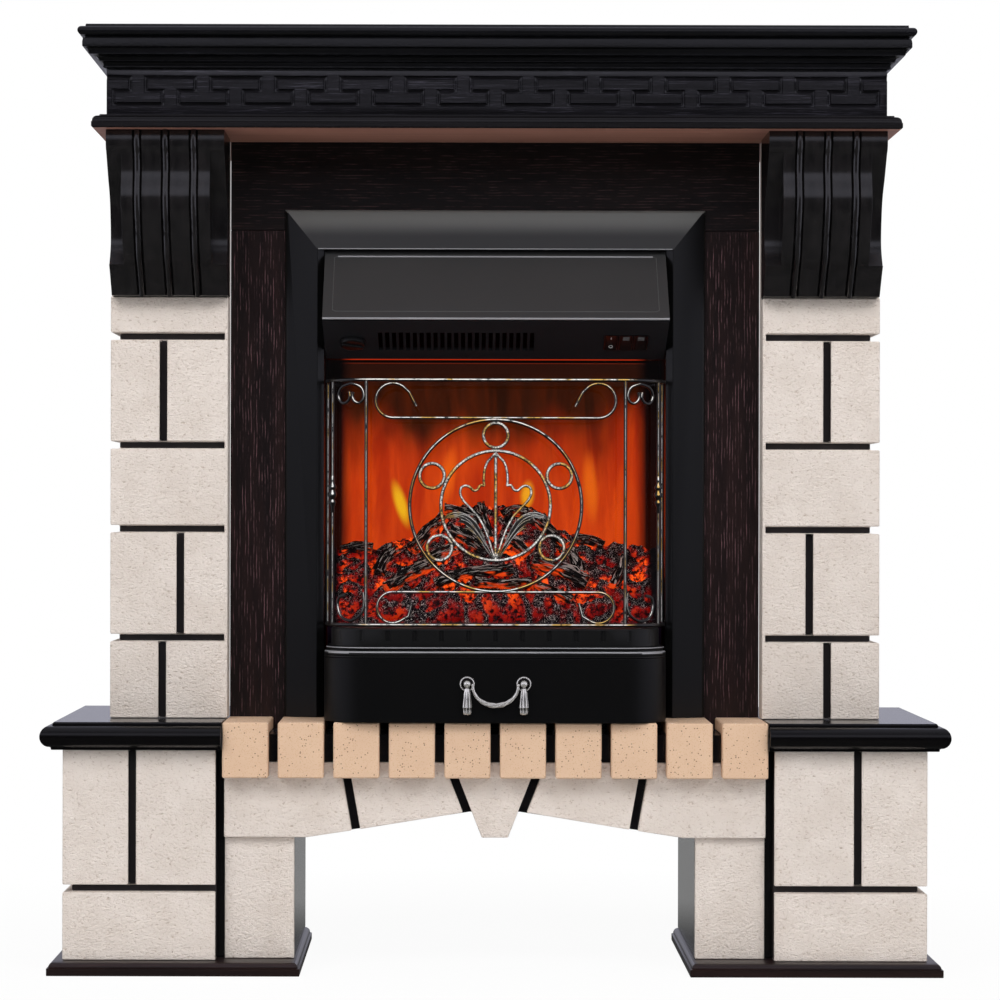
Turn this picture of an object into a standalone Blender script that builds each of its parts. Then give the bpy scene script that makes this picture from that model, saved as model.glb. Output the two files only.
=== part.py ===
"""Electric fireplace suite: a stone-effect surround with a black mantel, and a 500 by 600 mm inset fire.

The origin is on the floor under the middle of the bounding box, +X is to the right, -Y to the front.
All sizes are in metres.
"""
import math

import bmesh
import bpy
from mathutils import Matrix, Vector

# Clearance between pieces that touch on the real object
GAP = 0.0003

# Surround: planes in depth, front is negative
WALL = 0.1865
CORNICE_FRONT = -0.1865
LEDGE_FRONT = -0.1725
FRIEZE_FRONT = -0.156
SHELF_FRONT = -0.1535
PLINTH_FRONT = -0.1465
BRICK_FRONT = -0.1395
PEDESTAL_FRONT = -0.1295
APRON_FRONT = -0.1175
PILASTER_FRONT = -0.0655
FASCIA_FRONT = -0.0255

# Surround: heights
PLINTH_TOP = 0.016
ARCH_FOOT = 0.1576
ARCH_CROWN = 0.1867
HEARTH_BASE = 0.245
HEARTH_BOARD = 0.032
HEARTH_TOP = HEARTH_BASE + HEARTH_BOARD
BRICK_THICKNESS = 0.015
SHELF_BOARD = 0.032
SHELF_TOP = HEARTH_TOP + BRICK_THICKNESS
SHELF_BASE = SHELF_TOP - SHELF_BOARD
LEDGE_BASE = 0.974
CORBEL_HEIGHT = 0.1865
CORBEL_BASE = LEDGE_BASE - CORBEL_HEIGHT
LEDGE_BOARD = 0.016
LEDGE_TOP = LEDGE_BASE + LEDGE_BOARD
FRIEZE_HEIGHT = 0.052
FRIEZE_TOP = LEDGE_TOP + FRIEZE_HEIGHT
CORNICE_HEIGHT = 0.0495
MANTEL_TOP = FRIEZE_TOP + CORNICE_HEIGHT

# Surround: half widths
PILASTER_HALF = 0.452
CORBEL_HALF = PILASTER_HALF - 0.003
FRIEZE_HALF = PILASTER_HALF - 0.004
LEDGE_HALF = FRIEZE_HALF + 0.016
CORNICE_HALF = FRIEZE_HALF + 0.0303
PEDESTAL_HALF = 0.500
SHELF_HALF = PEDESTAL_HALF + 0.024
PLINTH_HALF = PEDESTAL_HALF + 0.0165
NICHE_HALF = 0.314
SHELF_INNER = NICHE_HALF + 0.002
PEDESTAL_INNER = NICHE_HALF + 0.009
BAY_HALF = 0.233
PLINTH_INNER = BAY_HALF - 0.008

# Stonework: joints and walls
JOINT_WIDTH = 0.0088
JOINT_DEPTH = 0.010
STONE_WALL = 0.020
TILE = 0.012
BACKING = 0.008
LEG_WALL = 0.016
PILASTER_COURSES = (0.09475, 0.128, 0.09845, 0.12785)
PILASTER_SPLIT_ROWS = ((0, 0.07675), (1, 0.0557), (3, 0.07605))
PILASTER_EDGE = 0.004
PEDESTAL_JOINT = PLINTH_TOP + 0.08305
PEDESTAL_SPLIT = PEDESTAL_INNER + 0.0965

# Brick row
BRICKS = 10
BRICK_WIDTH = 0.0531
BRICK_ROW_HALF = NICHE_HALF + 0.001
BRICK_PITCH = (2 * BRICK_ROW_HALF - BRICK_WIDTH) / (BRICKS - 1)
BRICK_BASE = HEARTH_BASE - 0.0173

# Arched apron: the arch line, the joints beside the end tiles and the keystone
ARCH_FOOT_X = BAY_HALF - 0.0144
ARCH_CROWN_X = 0.0289
APRON_JOINT_TOP = 0.1747
APRON_JOINT_LEAN = 0.0137
APRON_JOINT = 0.0099
KEYSTONE_TOP = 0.049
KEYSTONE_FOOT = 0.0152
KEY_JOINT = 0.0107

# Dark fascia boards round the inset fire
FRAME_HALF = 0.249
FRAME_TOP = 0.893
FASCIA_BOARD = 0.016
FASCIA_RAIL_BASE = FRAME_TOP - 0.024
FASCIA_OPENING = FRAME_HALF - 0.002

# Inset fire: frame and case
FRAME_BAR = 0.047
FRAME_CREST = 0.019
FRAME_EDGE = 0.005
CASE_HALF = FRAME_HALF - 0.044
CASE_WALL = 0.002
CASE_TOP = FRAME_TOP - 0.033
CASE_BACK = 0.130

# Inset fire: hood and the control panel under it
HOOD_HALF = FRAME_HALF - FRAME_BAR - 0.0005
HOOD_TOP = Vector((0.0, FASCIA_FRONT + 0.0035, FRAME_TOP - FRAME_BAR - 0.003))
HOOD_EDGE = HOOD_TOP + Vector((0.0, -0.0965, -0.083))
PANEL_FOOT = HOOD_TOP + Vector((0.0, 0.004, -0.126))
SHEET = 0.002
PANEL = 0.004
SLOTS = 23
SLOT_PITCH = 0.0081
SLOT_WIDTH = 0.0049
SLOT_LENGTH = 0.047
SLOT_MIDDLE = -0.046
CONTROL_DROP = 0.0078
KNOB_X = 0.0335 - HOOD_HALF
KNOB_RADIUS = 0.015
KNOB_HEIGHT = 0.014
KNOB_SHAFT = 0.003
ROCKER_WIDTH = 0.0135
ROCKER_PITCH = ROCKER_WIDTH + 0.004
ROCKER_LAST = HOOD_HALF - 0.0305
ROCKERS = ("rocker_main", "rocker_heat_low", "rocker_heat_high")
ROCKER_LENGTH = 0.032
ROCKER_TILT = math.radians(8)

# Inset fire: fuel bed, flame effect and fan heater
GLASS = 0.004
GLASS_FRONT = FASCIA_FRONT + 0.010
DRAWER_HEIGHT = 0.075
FENDER_BASE = SHELF_TOP + DRAWER_HEIGHT
FENDER_TIER = 0.034
FENDER_TOP = FENDER_BASE + FENDER_TIER
BED_FRONT_TOP = FENDER_TOP + 0.004
BED_BACK_TOP = BED_FRONT_TOP + 0.085
BED_BACK = CASE_BACK - 0.060
LOG_REACH = 0.150
SCREEN_FRONT = BED_BACK + 0.008
SCREEN = 0.003
SCREEN_TOP = CASE_TOP - 0.080
SPINDLE = Vector((0.0, CASE_BACK - 0.024, BED_BACK_TOP - 0.040))
SPINDLE_ROD = 0.0025
PADDLE = 0.016
PADDLES = 7
MOTOR_RADIUS = 0.019
MOTOR_LENGTH = 0.026
LAMP_HALF = CASE_HALF - 0.025
LAMP_HEIGHT = 0.014
HEATER_HEIGHT = 0.070
HEATER_BASE = CASE_TOP - HEATER_HEIGHT
HEATER_BACK = 0.060
HEATER_HALF = 0.093
ROTOR = Vector((SLOT_MIDDLE, HEATER_BACK - 0.024, HEATER_BASE + 0.027))
ROTOR_RADIUS = 0.018
ROTOR_LENGTH = 0.100
ROTOR_VANES = 12

# Inset fire: bay-shaped fender, ash drawer, guard and handle
FENDER_HALF = 0.199
FENDER_FRONT = -0.150
FENDER_BACK = FASCIA_FRONT - GAP
FENDER_CORNER = 0.052
RUNNER = 0.009
RUNNER_X = FENDER_HALF - 0.016
RUNNER_LENGTH = 0.080
GUARD_HALF = FENDER_HALF - 0.002
GUARD_FRONT = FENDER_FRONT + 0.024
GUARD_CORNER = FENDER_CORNER
GUARD_HEIGHT = 0.287
GUARD_TOP = FENDER_TOP + GUARD_HEIGHT
GUARD_WIRE = 0.0028
GUARD_POSTS = (5.5, 59.0)
SCROLL_BAR = 0.0025
SCROLL_X = 0.119
SCROLL_TIP = (0.026, 0.005)
RING_SMALL = 0.0153
RING_ANGLES = (90, 155, 217, 323, 25)
RING_CENTRE = FENDER_TOP + 0.140
RING_OUTER = 0.099
RING_INNER = 0.0634
HANDLE_HEIGHT = FENDER_BASE - 0.0295
HANDLE_HALF = 0.0326
ROSETTE_RADIUS = 0.0087
ROSETTE_BALL = 0.0042
ROSETTE_DEPTH = 0.009
TASSEL = (0.0038, 0.030)
BAIL_RADIUS = 0.0022
BAIL_DROP = 0.021

COLLECTION = bpy.data.collections.new("fireplace_suite")
CUTTERS = bpy.data.collections.new("cutters")


def clear_scene():
    """Remove the objects that the scene starts with, and link the two collections."""
    for old in list(bpy.data.objects):
        bpy.data.objects.remove(old, do_unlink=True)
    for collection in (COLLECTION, CUTTERS):
        bpy.context.scene.collection.children.link(collection)


def material(name, colour, roughness, metallic=0.0):
    """Principled material with one colour."""
    made = bpy.data.materials.new(name)
    made.use_nodes = True
    shader = made.node_tree.nodes["Principled BSDF"]
    shader.inputs["Base Color"].default_value = (*colour, 1.0)
    shader.inputs["Roughness"].default_value = roughness
    shader.inputs["Metallic"].default_value = metallic
    return made


def place(name, mesh, finish, middle, parent=None):
    """Turn a bmesh in world coordinates into an object whose origin is at middle."""
    data = bpy.data.meshes.new(name)
    mesh.transform(Matrix.Translation(-Vector(middle)))
    mesh.to_mesh(data)
    mesh.free()
    made = bpy.data.objects.new(name, data)
    made.location = Vector(middle) - (parent.location if parent else Vector())
    made.parent = parent
    if finish is None:
        CUTTERS.objects.link(made)
        made.hide_render = True
        made.display_type = "WIRE"
    else:
        COLLECTION.objects.link(made)
        data.materials.append(finish)
    return made


def box(name, low, high, finish=None):
    """Box between two corners."""
    low, high = Vector(low), Vector(high)
    mesh = bmesh.new()
    bmesh.ops.create_cube(mesh, size=1.0)
    size = Matrix.Diagonal((*(high - low), 1.0))
    mesh.transform(Matrix.Translation((low + high) / 2) @ size)
    return place(name, mesh, finish, (low + high) / 2)


def sided(side, low, high):
    """Corners of a box given for the right side, moved to the left where side is -1."""
    first, last = sorted((side * low[0], side * high[0]))
    return (first, low[1], low[2]), (last, high[1], high[2])


def loft(name, rings, finish, parent=None):
    """Solid through rings of equally many points, with flat ends."""
    mesh = bmesh.new()
    rows = [[mesh.verts.new(point) for point in ring] for ring in rings]
    for row, after in zip(rows, rows[1:]):
        for i in range(len(row)):
            j = (i + 1) % len(row)
            mesh.faces.new((row[i], row[j], after[j], after[i]))
    mesh.faces.new(reversed(rows[0]))
    mesh.faces.new(rows[-1])
    bmesh.ops.recalc_face_normals(mesh, faces=mesh.faces)
    middle = sum((vertex.co for vertex in mesh.verts), Vector()) / len(mesh.verts)
    return place(name, mesh, finish, middle, parent)


def extrude(name, outline, axis, start, end, finish=None, parent=None):
    """Flat outline in the two other axes, thick from start to end along axis."""
    order = {"X": (1, 2, 0), "Y": (0, 2, 1), "Z": (0, 1, 2)}[axis]
    rings = []
    for along in (start, end):
        ring = []
        for first, second in outline:
            point = [0.0, 0.0, 0.0]
            for index, value in zip(order, (first, second, along)):
                point[index] = value
            ring.append(point)
        rings.append(ring)
    return loft(name, rings, finish, parent)


def round_bar(name, start, end, radius, finish=None, sides=16):
    """Cylinder from start to end."""
    start, end = Vector(start), Vector(end)
    mesh = bmesh.new()
    length = (end - start).length
    bmesh.ops.create_cone(mesh, cap_ends=True, segments=sides, radius1=radius, radius2=radius, depth=length)
    turn = (end - start).to_track_quat("Z", "Y").to_matrix().to_4x4()
    mesh.transform(Matrix.Translation((start + end) / 2) @ turn)
    return place(name, mesh, finish, (start + end) / 2)


def wire(name, points, radius, finish=None, closed=False, sides=1):
    """Tube along points, as a bevelled curve made into a closed mesh."""
    curve = bpy.data.curves.new(name, "CURVE")
    curve.dimensions = "3D"
    curve.bevel_depth = radius
    curve.bevel_resolution = sides
    curve.use_fill_caps = True
    spline = curve.splines.new("POLY")
    spline.points.add(len(points) - 1)
    for target, point in zip(spline.points, points):
        target.co = (*point, 1.0)
    spline.use_cyclic_u = closed
    guide = bpy.data.objects.new(name + "_path", curve)
    bpy.context.scene.collection.objects.link(guide)
    mesh = bmesh.new()
    mesh.from_mesh(guide.evaluated_get(bpy.context.evaluated_depsgraph_get()).to_mesh())
    bpy.data.objects.remove(guide, do_unlink=True)
    bmesh.ops.remove_doubles(mesh, verts=mesh.verts, dist=0.00001)
    bmesh.ops.recalc_face_normals(mesh, faces=mesh.faces)
    return place(name, mesh, finish, points[0])


def combine(target, tools, operation):
    """Cut tools out of target, or join them to it, one after another."""
    for tool in tools:
        step = target.modifiers.new(tool.name, "BOOLEAN")
        step.operation = operation
        step.object = tool


def smooth(points, steps=3):
    """Points of a Catmull-Rom curve through points."""
    ends = [points[0], *points, points[-1]]
    made = []
    for a, b, c, d in zip(ends, ends[1:], ends[2:], ends[3:]):
        for step in range(steps):
            t = step / steps
            made.append(tuple(
                0.5 * (2 * q + (r - p) * t + (2 * p - 5 * q + 4 * r - s) * t * t + (3 * q - p - 3 * r + s) * t ** 3)
                for p, q, r, s in zip(a, b, c, d)))
    made.append(tuple(points[-1]))
    return made


def arc(centre, radius, start, end, steps):
    """Points on an arc in a plane, with angles in degrees."""
    turn = [math.radians(start + (end - start) * step / steps) for step in range(steps + 1)]
    return [(centre[0] + radius * math.cos(a), centre[1] + radius * math.sin(a)) for a in turn]


def bay(half, front, back, corner, steps=6):
    """Plan of a bay: from the left rear, round two corners, to the right rear."""
    left = arc((corner - half, front + corner), corner, 180, 270, steps)
    right = arc((half - corner, front + corner), corner, 270, 360, steps)
    return [(-half, back), *left, *right, (half, back)]


def moulded_board(name, left, right, front, profile, finish, ends=(1, 1)):
    """Board back to the wall, its front and ends cut to one profile of (inset, height) points."""
    rings = []
    for inset, height in profile:
        start = left + inset * ends[0]
        stop = right - inset * ends[1]
        rings.append([(start, front + inset, height), (stop, front + inset, height),
                      (stop, WALL, height), (start, WALL, height)])
    return loft(name, rings, finish)


def thumb_edge(base, top, step, nose):
    """Edge profile: a small chamfer below, an upright nose, a quarter round and a step on top."""
    round_base = top - step - nose
    profile = [(nose * 0.8, base), (0.0, base + nose * 0.4)]
    profile += [(nose - x, z) for x, z in arc((0.0, round_base), nose, 0, 90, 4)]
    profile += [(nose + step, top - step), (nose + step, top)]
    return profile


def make_mantel(wood):
    """Top shelf with its cove, the frieze box and the ledge board."""
    fascia = 0.005
    cove_head = 0.0095
    cove_foot = 0.026
    cove_base = FRIEZE_TOP + 0.007
    nose_base = MANTEL_TOP - 0.017
    nose_round = 0.006
    top_step = 0.003
    cove = arc((cove_head, cove_base), cove_foot - cove_head, 0, 90, 4)
    profile = [(CORNICE_HALF - FRIEZE_HALF, FRIEZE_TOP), (cove_foot, FRIEZE_TOP + 0.004), *cove]
    profile += [(fascia, cove[-1][1]), (fascia, nose_base - 0.0035), (0.0, nose_base)]
    profile += [(nose_round - x, z) for x, z in
                arc((0.0, MANTEL_TOP - top_step - nose_round), nose_round, 0, 90, 4)]
    profile += [(nose_round + top_step, MANTEL_TOP - top_step), (nose_round + top_step, MANTEL_TOP)]
    moulded_board("mantel_top", -CORNICE_HALF, CORNICE_HALF, CORNICE_FRONT, profile, wood)
    box("frieze_box", (-FRIEZE_HALF, FRIEZE_FRONT, LEDGE_TOP + GAP),
        (FRIEZE_HALF, WALL, FRIEZE_TOP - GAP), wood)
    moulded_board("mantel_ledge", -LEDGE_HALF, LEDGE_HALF, LEDGE_FRONT,
                  thumb_edge(LEDGE_BASE, LEDGE_TOP, 0.002, 0.006), wood)


def make_corbel(side, name, wood):
    """Scrolled block under the ledge, with a recessed strip down each edge."""
    strip = 0.017
    back = PILASTER_FRONT + JOINT_DEPTH - GAP
    top = LEDGE_BASE - GAP
    base = CORBEL_BASE + GAP
    reach = PILASTER_FRONT - FRIEZE_FRONT

    def line(points):
        """Points given as shares of the corbel's reach forward and of its height from the top."""
        return [(PILASTER_FRONT - out * reach, LEDGE_BASE - down * CORBEL_HEIGHT) for out, down in points]

    curve = smooth(line([(0.934, 0.139), (0.890, 0.252), (0.945, 0.429), (0.823, 0.590), (0.669, 0.745),
                         (0.470, 0.8525), (0.326, 0.933), (0.215, 0.999)]))
    front = [(FRIEZE_FRONT, top), *line([(1.0, 0.0965), (0.967, 0.118)]), *curve[:-1], (curve[-1][0], base)]
    inner = NICHE_HALF - 0.001
    low, high = sorted((side * inner, side * CORBEL_HALF))
    block = extrude(name, [(back, base), (back, top), *front], "X", low, high, wood)
    recess = smooth(line([(0.934, 0.1287), (0.691, 0.279), (0.481, 0.397), (0.370, 0.5576),
                          (0.359, 0.6917), (0.514, 0.815)]))
    outline = [*recess, *line([(1.155, 0.815), (1.155, 0.1287)])]
    margin = 0.002
    strips = [extrude(name + "_strip_low", outline, "X", low - margin, low + strip),
              extrude(name + "_strip_high", outline, "X", high - strip, high + margin)]
    combine(block, strips, "DIFFERENCE")


def make_pilaster(side, name, stone):
    """Stone column with level and upright joints, set back above the joint under the corbel."""
    inner = NICHE_HALF
    wall = STONE_WALL
    base = SHELF_TOP + GAP
    top = LEDGE_BASE - GAP
    rear = FASCIA_FRONT - GAP
    plan = [(inner, PILASTER_FRONT), (PILASTER_HALF, PILASTER_FRONT), (PILASTER_HALF, WALL),
            (PILASTER_HALF - wall, WALL), (PILASTER_HALF - wall, PILASTER_FRONT + wall),
            (inner + wall, PILASTER_FRONT + wall), (inner + wall, rear), (inner, rear)]
    column = extrude(name, [(side * x, y) for x, y in plan], "Z", base, top, stone)
    margin = 0.002
    front = PILASTER_FRONT - margin
    bottom = PILASTER_FRONT + JOINT_DEPTH
    cuts = [box(name + "_seat", *sided(side, (inner - margin, front, CORBEL_BASE),
                                       (PILASTER_HALF + margin, bottom, top + margin)))]
    half = JOINT_WIDTH / 2
    levels = [base - margin]
    height = SHELF_TOP
    for row, course in enumerate(PILASTER_COURSES):
        height += course
        levels.append(height)
        cuts.append(box(f"{name}_joint_{row}", *sided(
            side, (inner + PILASTER_EDGE, front, height - half),
            (PILASTER_HALF + margin, bottom, height + half))))
        cuts.append(box(f"{name}_return_{row}", *sided(
            side, (PILASTER_HALF - JOINT_DEPTH, bottom - margin, height - half),
            (PILASTER_HALF + margin, WALL + margin, height + half))))
    for row, beside in PILASTER_SPLIT_ROWS:
        across = NICHE_HALF + beside
        cuts.append(box(f"{name}_split_{row}", *sided(
            side, (across - half, front, levels[row]),
            (across + half, bottom - GAP, levels[row + 1]))))
    combine(column, cuts, "DIFFERENCE")


def make_pedestal(side, name, stone):
    """Stone facing of the base: a front and an outer return."""
    base = PLINTH_TOP + GAP
    top = SHELF_BASE - GAP
    rear = APRON_FRONT + TILE + BACKING
    plan = [(PEDESTAL_INNER, PEDESTAL_FRONT), (PEDESTAL_HALF, PEDESTAL_FRONT), (PEDESTAL_HALF, WALL),
            (PEDESTAL_HALF - STONE_WALL, WALL), (PEDESTAL_HALF - STONE_WALL, rear), (PEDESTAL_INNER, rear)]
    facing = extrude(name, [(side * x, y) for x, y in plan], "Z", base, top, stone)
    margin = 0.002
    half = JOINT_WIDTH / 2
    front = PEDESTAL_FRONT - margin
    bottom = PEDESTAL_FRONT + JOINT_DEPTH
    cuts = [
        box(name + "_joint", *sided(side, (PEDESTAL_INNER - margin, front, PEDESTAL_JOINT - half),
                                    (PEDESTAL_HALF + margin, bottom, PEDESTAL_JOINT + half))),
        box(name + "_return", *sided(side, (PEDESTAL_HALF - JOINT_DEPTH, bottom - margin, PEDESTAL_JOINT - half),
                                     (PEDESTAL_HALF + margin, WALL + margin, PEDESTAL_JOINT + half))),
        box(name + "_split", *sided(side, (PEDESTAL_SPLIT - half, front, PEDESTAL_JOINT),
                                    (PEDESTAL_SPLIT + half, bottom - GAP, top + margin))),
    ]
    combine(facing, cuts, "DIFFERENCE")


def make_leg(side, tag, stone, wood):
    """Plinth, carcass, inner facing and hearth shelf of one side."""
    rear = APRON_FRONT + TILE + BACKING + GAP
    plinth_edge = [(0.0, 0.0), (0.0, PLINTH_TOP - 0.006)]
    plinth_edge += [(0.006 - x, z) for x, z in arc((0.0, PLINTH_TOP - 0.006), 0.006, 0, 90, 4)][1:]
    left, right = sorted((side * PLINTH_INNER, side * PLINTH_HALF))
    moulded_board("plinth_" + tag, left, right, PLINTH_FRONT, plinth_edge, wood)
    outer = PEDESTAL_HALF - STONE_WALL - GAP
    plan = [(BAY_HALF, WALL), (BAY_HALF, rear), (outer, rear), (outer, WALL),
            (outer - LEG_WALL, WALL), (outer - LEG_WALL, rear + LEG_WALL),
            (BAY_HALF + LEG_WALL, rear + LEG_WALL), (BAY_HALF + LEG_WALL, WALL)]
    case = extrude("leg_case_" + tag, [(side * x, y) for x, y in plan], "Z",
                   PLINTH_TOP + GAP, HEARTH_BASE - GAP, wood)
    sink = 0.001
    bearer = box("leg_bearer_" + tag, *sided(side, (NICHE_HALF + GAP, rear, HEARTH_BASE - GAP - sink),
                                             (outer, rear + LEG_WALL, SHELF_BASE - GAP)))
    combine(case, [bearer], "UNION")
    box("leg_stone_" + tag, *sided(side, (BAY_HALF, rear - GAP - TILE, PLINTH_TOP + GAP),
                                   (NICHE_HALF - 0.0005, rear - GAP, ARCH_FOOT - GAP)), stone)
    left, right = sorted((side * SHELF_INNER, side * SHELF_HALF))
    nose = 0.008
    profile = [(0.0128, SHELF_BASE), (0.0128, SHELF_BASE + 0.004)]
    profile += [(nose - x, z) for x, z in arc((0.0, SHELF_BASE + 0.004 + nose), nose, -90, 90, 8)]
    profile += [(0.0146, SHELF_TOP - 0.006), (0.0146, SHELF_TOP)]
    ends = (0, 1) if side > 0 else (1, 0)
    moulded_board("hearth_shelf_" + tag, left, right, SHELF_FRONT, profile, wood, ends)


def make_hearth(brick, wood):
    """Board behind and under the brick row, and the bricks, which lap over its front edge."""
    lip_back = APRON_FRONT - GAP
    board_front = lip_back + 0.0035
    box("hearth_board", (-NICHE_HALF, board_front, HEARTH_BASE), (NICHE_HALF, WALL, HEARTH_TOP), wood)
    rear = FASCIA_FRONT - GAP
    seat = HEARTH_TOP + GAP
    side_view = [(BRICK_FRONT, BRICK_BASE), (lip_back, BRICK_BASE), (lip_back, seat),
                 (rear, seat), (rear, SHELF_TOP), (BRICK_FRONT, SHELF_TOP)]
    for number in range(BRICKS):
        middle = (number - (BRICKS - 1) / 2) * BRICK_PITCH
        tile = extrude(f"hearth_brick_{number + 1}", side_view, "X",
                       middle - BRICK_WIDTH / 2, middle + BRICK_WIDTH / 2, brick)
        edge = tile.modifiers.new("edge", "BEVEL")
        edge.width = 0.0015
        edge.segments = 1


def arch_height(across):
    """Height of the arch line at a distance from the middle."""
    rise = (ARCH_FOOT_X - across) / (ARCH_FOOT_X - ARCH_CROWN_X)
    return ARCH_FOOT + (ARCH_CROWN - ARCH_FOOT) * min(max(rise, 0.0), 1.0)


def keystone_half(height):
    """Half width of the keystone at a height."""
    share = (height - ARCH_FOOT) / (HEARTH_BASE - ARCH_FOOT)
    return KEYSTONE_FOOT + (KEYSTONE_TOP - KEYSTONE_FOOT) * share


def make_apron(stone, wood):
    """Five stone tiles over the arch, on one dark board that shows in the joints."""
    back = APRON_FRONT + TILE
    top = HEARTH_BASE - GAP
    board = [(-NICHE_HALF, ARCH_FOOT), (-ARCH_FOOT_X, ARCH_FOOT), (-ARCH_CROWN_X, ARCH_CROWN),
             (ARCH_CROWN_X, ARCH_CROWN), (ARCH_FOOT_X, ARCH_FOOT), (NICHE_HALF, ARCH_FOOT),
             (NICHE_HALF, top), (-NICHE_HALF, top)]
    extrude("arch_board", board, "Y", back + GAP, back + BACKING, wood)
    joint_foot = APRON_JOINT_TOP - APRON_JOINT_LEAN
    half = APRON_JOINT / 2
    inner_foot = joint_foot - half
    outer_foot = joint_foot + half
    key_top = KEYSTONE_TOP + KEY_JOINT
    key_crown = keystone_half(ARCH_CROWN) + KEY_JOINT
    for side, tag in ((-1, "left"), (1, "right")):
        end_tile = [(NICHE_HALF, top), (APRON_JOINT_TOP + half, top), (outer_foot, arch_height(outer_foot)),
                    (ARCH_FOOT_X, ARCH_FOOT), (NICHE_HALF, ARCH_FOOT)]
        extrude("apron_" + tag, [(side * x, z) for x, z in end_tile], "Y", APRON_FRONT, back, stone)
        voussoir = [(APRON_JOINT_TOP - half, top), (key_top, top), (key_crown, ARCH_CROWN),
                    (inner_foot, arch_height(inner_foot))]
        extrude("voussoir_" + tag, [(side * x, z) for x, z in voussoir], "Y", APRON_FRONT, back, stone)
    keystone = [(-KEYSTONE_TOP, top), (-KEYSTONE_FOOT, ARCH_FOOT), (KEYSTONE_FOOT, ARCH_FOOT), (KEYSTONE_TOP, top)]
    extrude("keystone", keystone, "Y", APRON_FRONT, back, stone)


def make_fascia(wood):
    """Dark rail and stiles that close the niche round the inset fire."""
    back = FASCIA_FRONT + FASCIA_BOARD
    box("fascia_rail", (GAP - NICHE_HALF, FASCIA_FRONT, FASCIA_RAIL_BASE),
        (NICHE_HALF - GAP, back, LEDGE_BASE - GAP), wood)
    for side, tag in ((-1, "left"), (1, "right")):
        box("fascia_stile_" + tag, *sided(side, (FASCIA_OPENING, FASCIA_FRONT, HEARTH_TOP + GAP),
                                          (NICHE_HALF - GAP, back, FASCIA_RAIL_BASE - GAP)), wood)


def make_frame(metal):
    """Mitred trim frame over the sides and top of the case, with a raised inner edge."""
    back = FASCIA_FRONT - GAP
    section = [(0.0, 0.0), (0.0, FRAME_CREST - 0.006), (0.008, FRAME_CREST),
               (FRAME_BAR - 0.003, FRAME_EDGE + 0.003), (FRAME_BAR, FRAME_EDGE), (FRAME_BAR, 0.0)]
    inner = FRAME_HALF - FRAME_BAR
    inner_top = FRAME_TOP - FRAME_BAR
    foot = SHELF_TOP + GAP
    feet = [[(side * (inner + across), back - out, foot) for across, out in section] for side in (-1, 1)]
    mitres = [[(side * (inner + across), back - out, inner_top + across) for across, out in section]
              for side in (-1, 1)]
    loft("insert_frame", [feet[0], *mitres, feet[1]], metal)


def make_case(metal):
    """Open-fronted steel case with a bush for the spindle and a cable gland at the back."""
    low = Vector((-CASE_HALF, FASCIA_FRONT, HEARTH_TOP + GAP))
    high = Vector((CASE_HALF, CASE_BACK, CASE_TOP))
    case = box("insert_case", low, high, metal)
    mesh = bmesh.new()
    mesh.from_mesh(case.data)
    mouth = [face for face in mesh.faces if face.normal.y < -0.5]
    bmesh.ops.delete(mesh, geom=mouth, context="FACES")
    mesh.to_mesh(case.data)
    mesh.free()
    shell = case.modifiers.new("sheet", "SOLIDIFY")
    shell.thickness = CASE_WALL
    shell.offset = -1.0
    shell.use_even_offset = True
    inner = CASE_HALF - CASE_WALL
    bush_length = 0.010
    sink = CASE_WALL / 2
    gland_x = CASE_HALF - 0.055
    gland_z = HEARTH_TOP + 0.053
    bush = round_bar("case_bush", (inner + sink, SPINDLE.y, SPINDLE.z),
                     (inner - bush_length, SPINDLE.y, SPINDLE.z), SPINDLE_ROD + 0.004)
    gland = round_bar("case_gland", (gland_x, CASE_BACK - sink, gland_z), (gland_x, CASE_BACK + 0.014, gland_z), 0.009)
    combine(case, [bush, gland], "UNION")
    bore = round_bar("case_bore", (inner - 0.001, SPINDLE.y, SPINDLE.z),
                     (inner - bush_length - 0.005, SPINDLE.y, SPINDLE.z), SPINDLE_ROD + GAP)
    combine(case, [bore], "DIFFERENCE")


def panel_frame():
    """Frame of the control panel: local Z points out of its face, local Y along it to the hood edge."""
    run = HOOD_EDGE - PANEL_FOOT
    along = run.normalized()
    across = Vector((1.0, 0.0, 0.0))
    out = across.cross(along)
    rotation = Matrix((across, along, out)).transposed()
    return Matrix.Translation((HOOD_EDGE + PANEL_FOOT) / 2) @ rotation.to_4x4(), run.length


def panel_cut(name, across, width, length):
    """Cutter for an upright window in the panel, in the panel's own frame."""
    return box(name, (across - width / 2, -CONTROL_DROP - length / 2, -2 * PANEL),
               (across + width / 2, length / 2 - CONTROL_DROP, PANEL))


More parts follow.
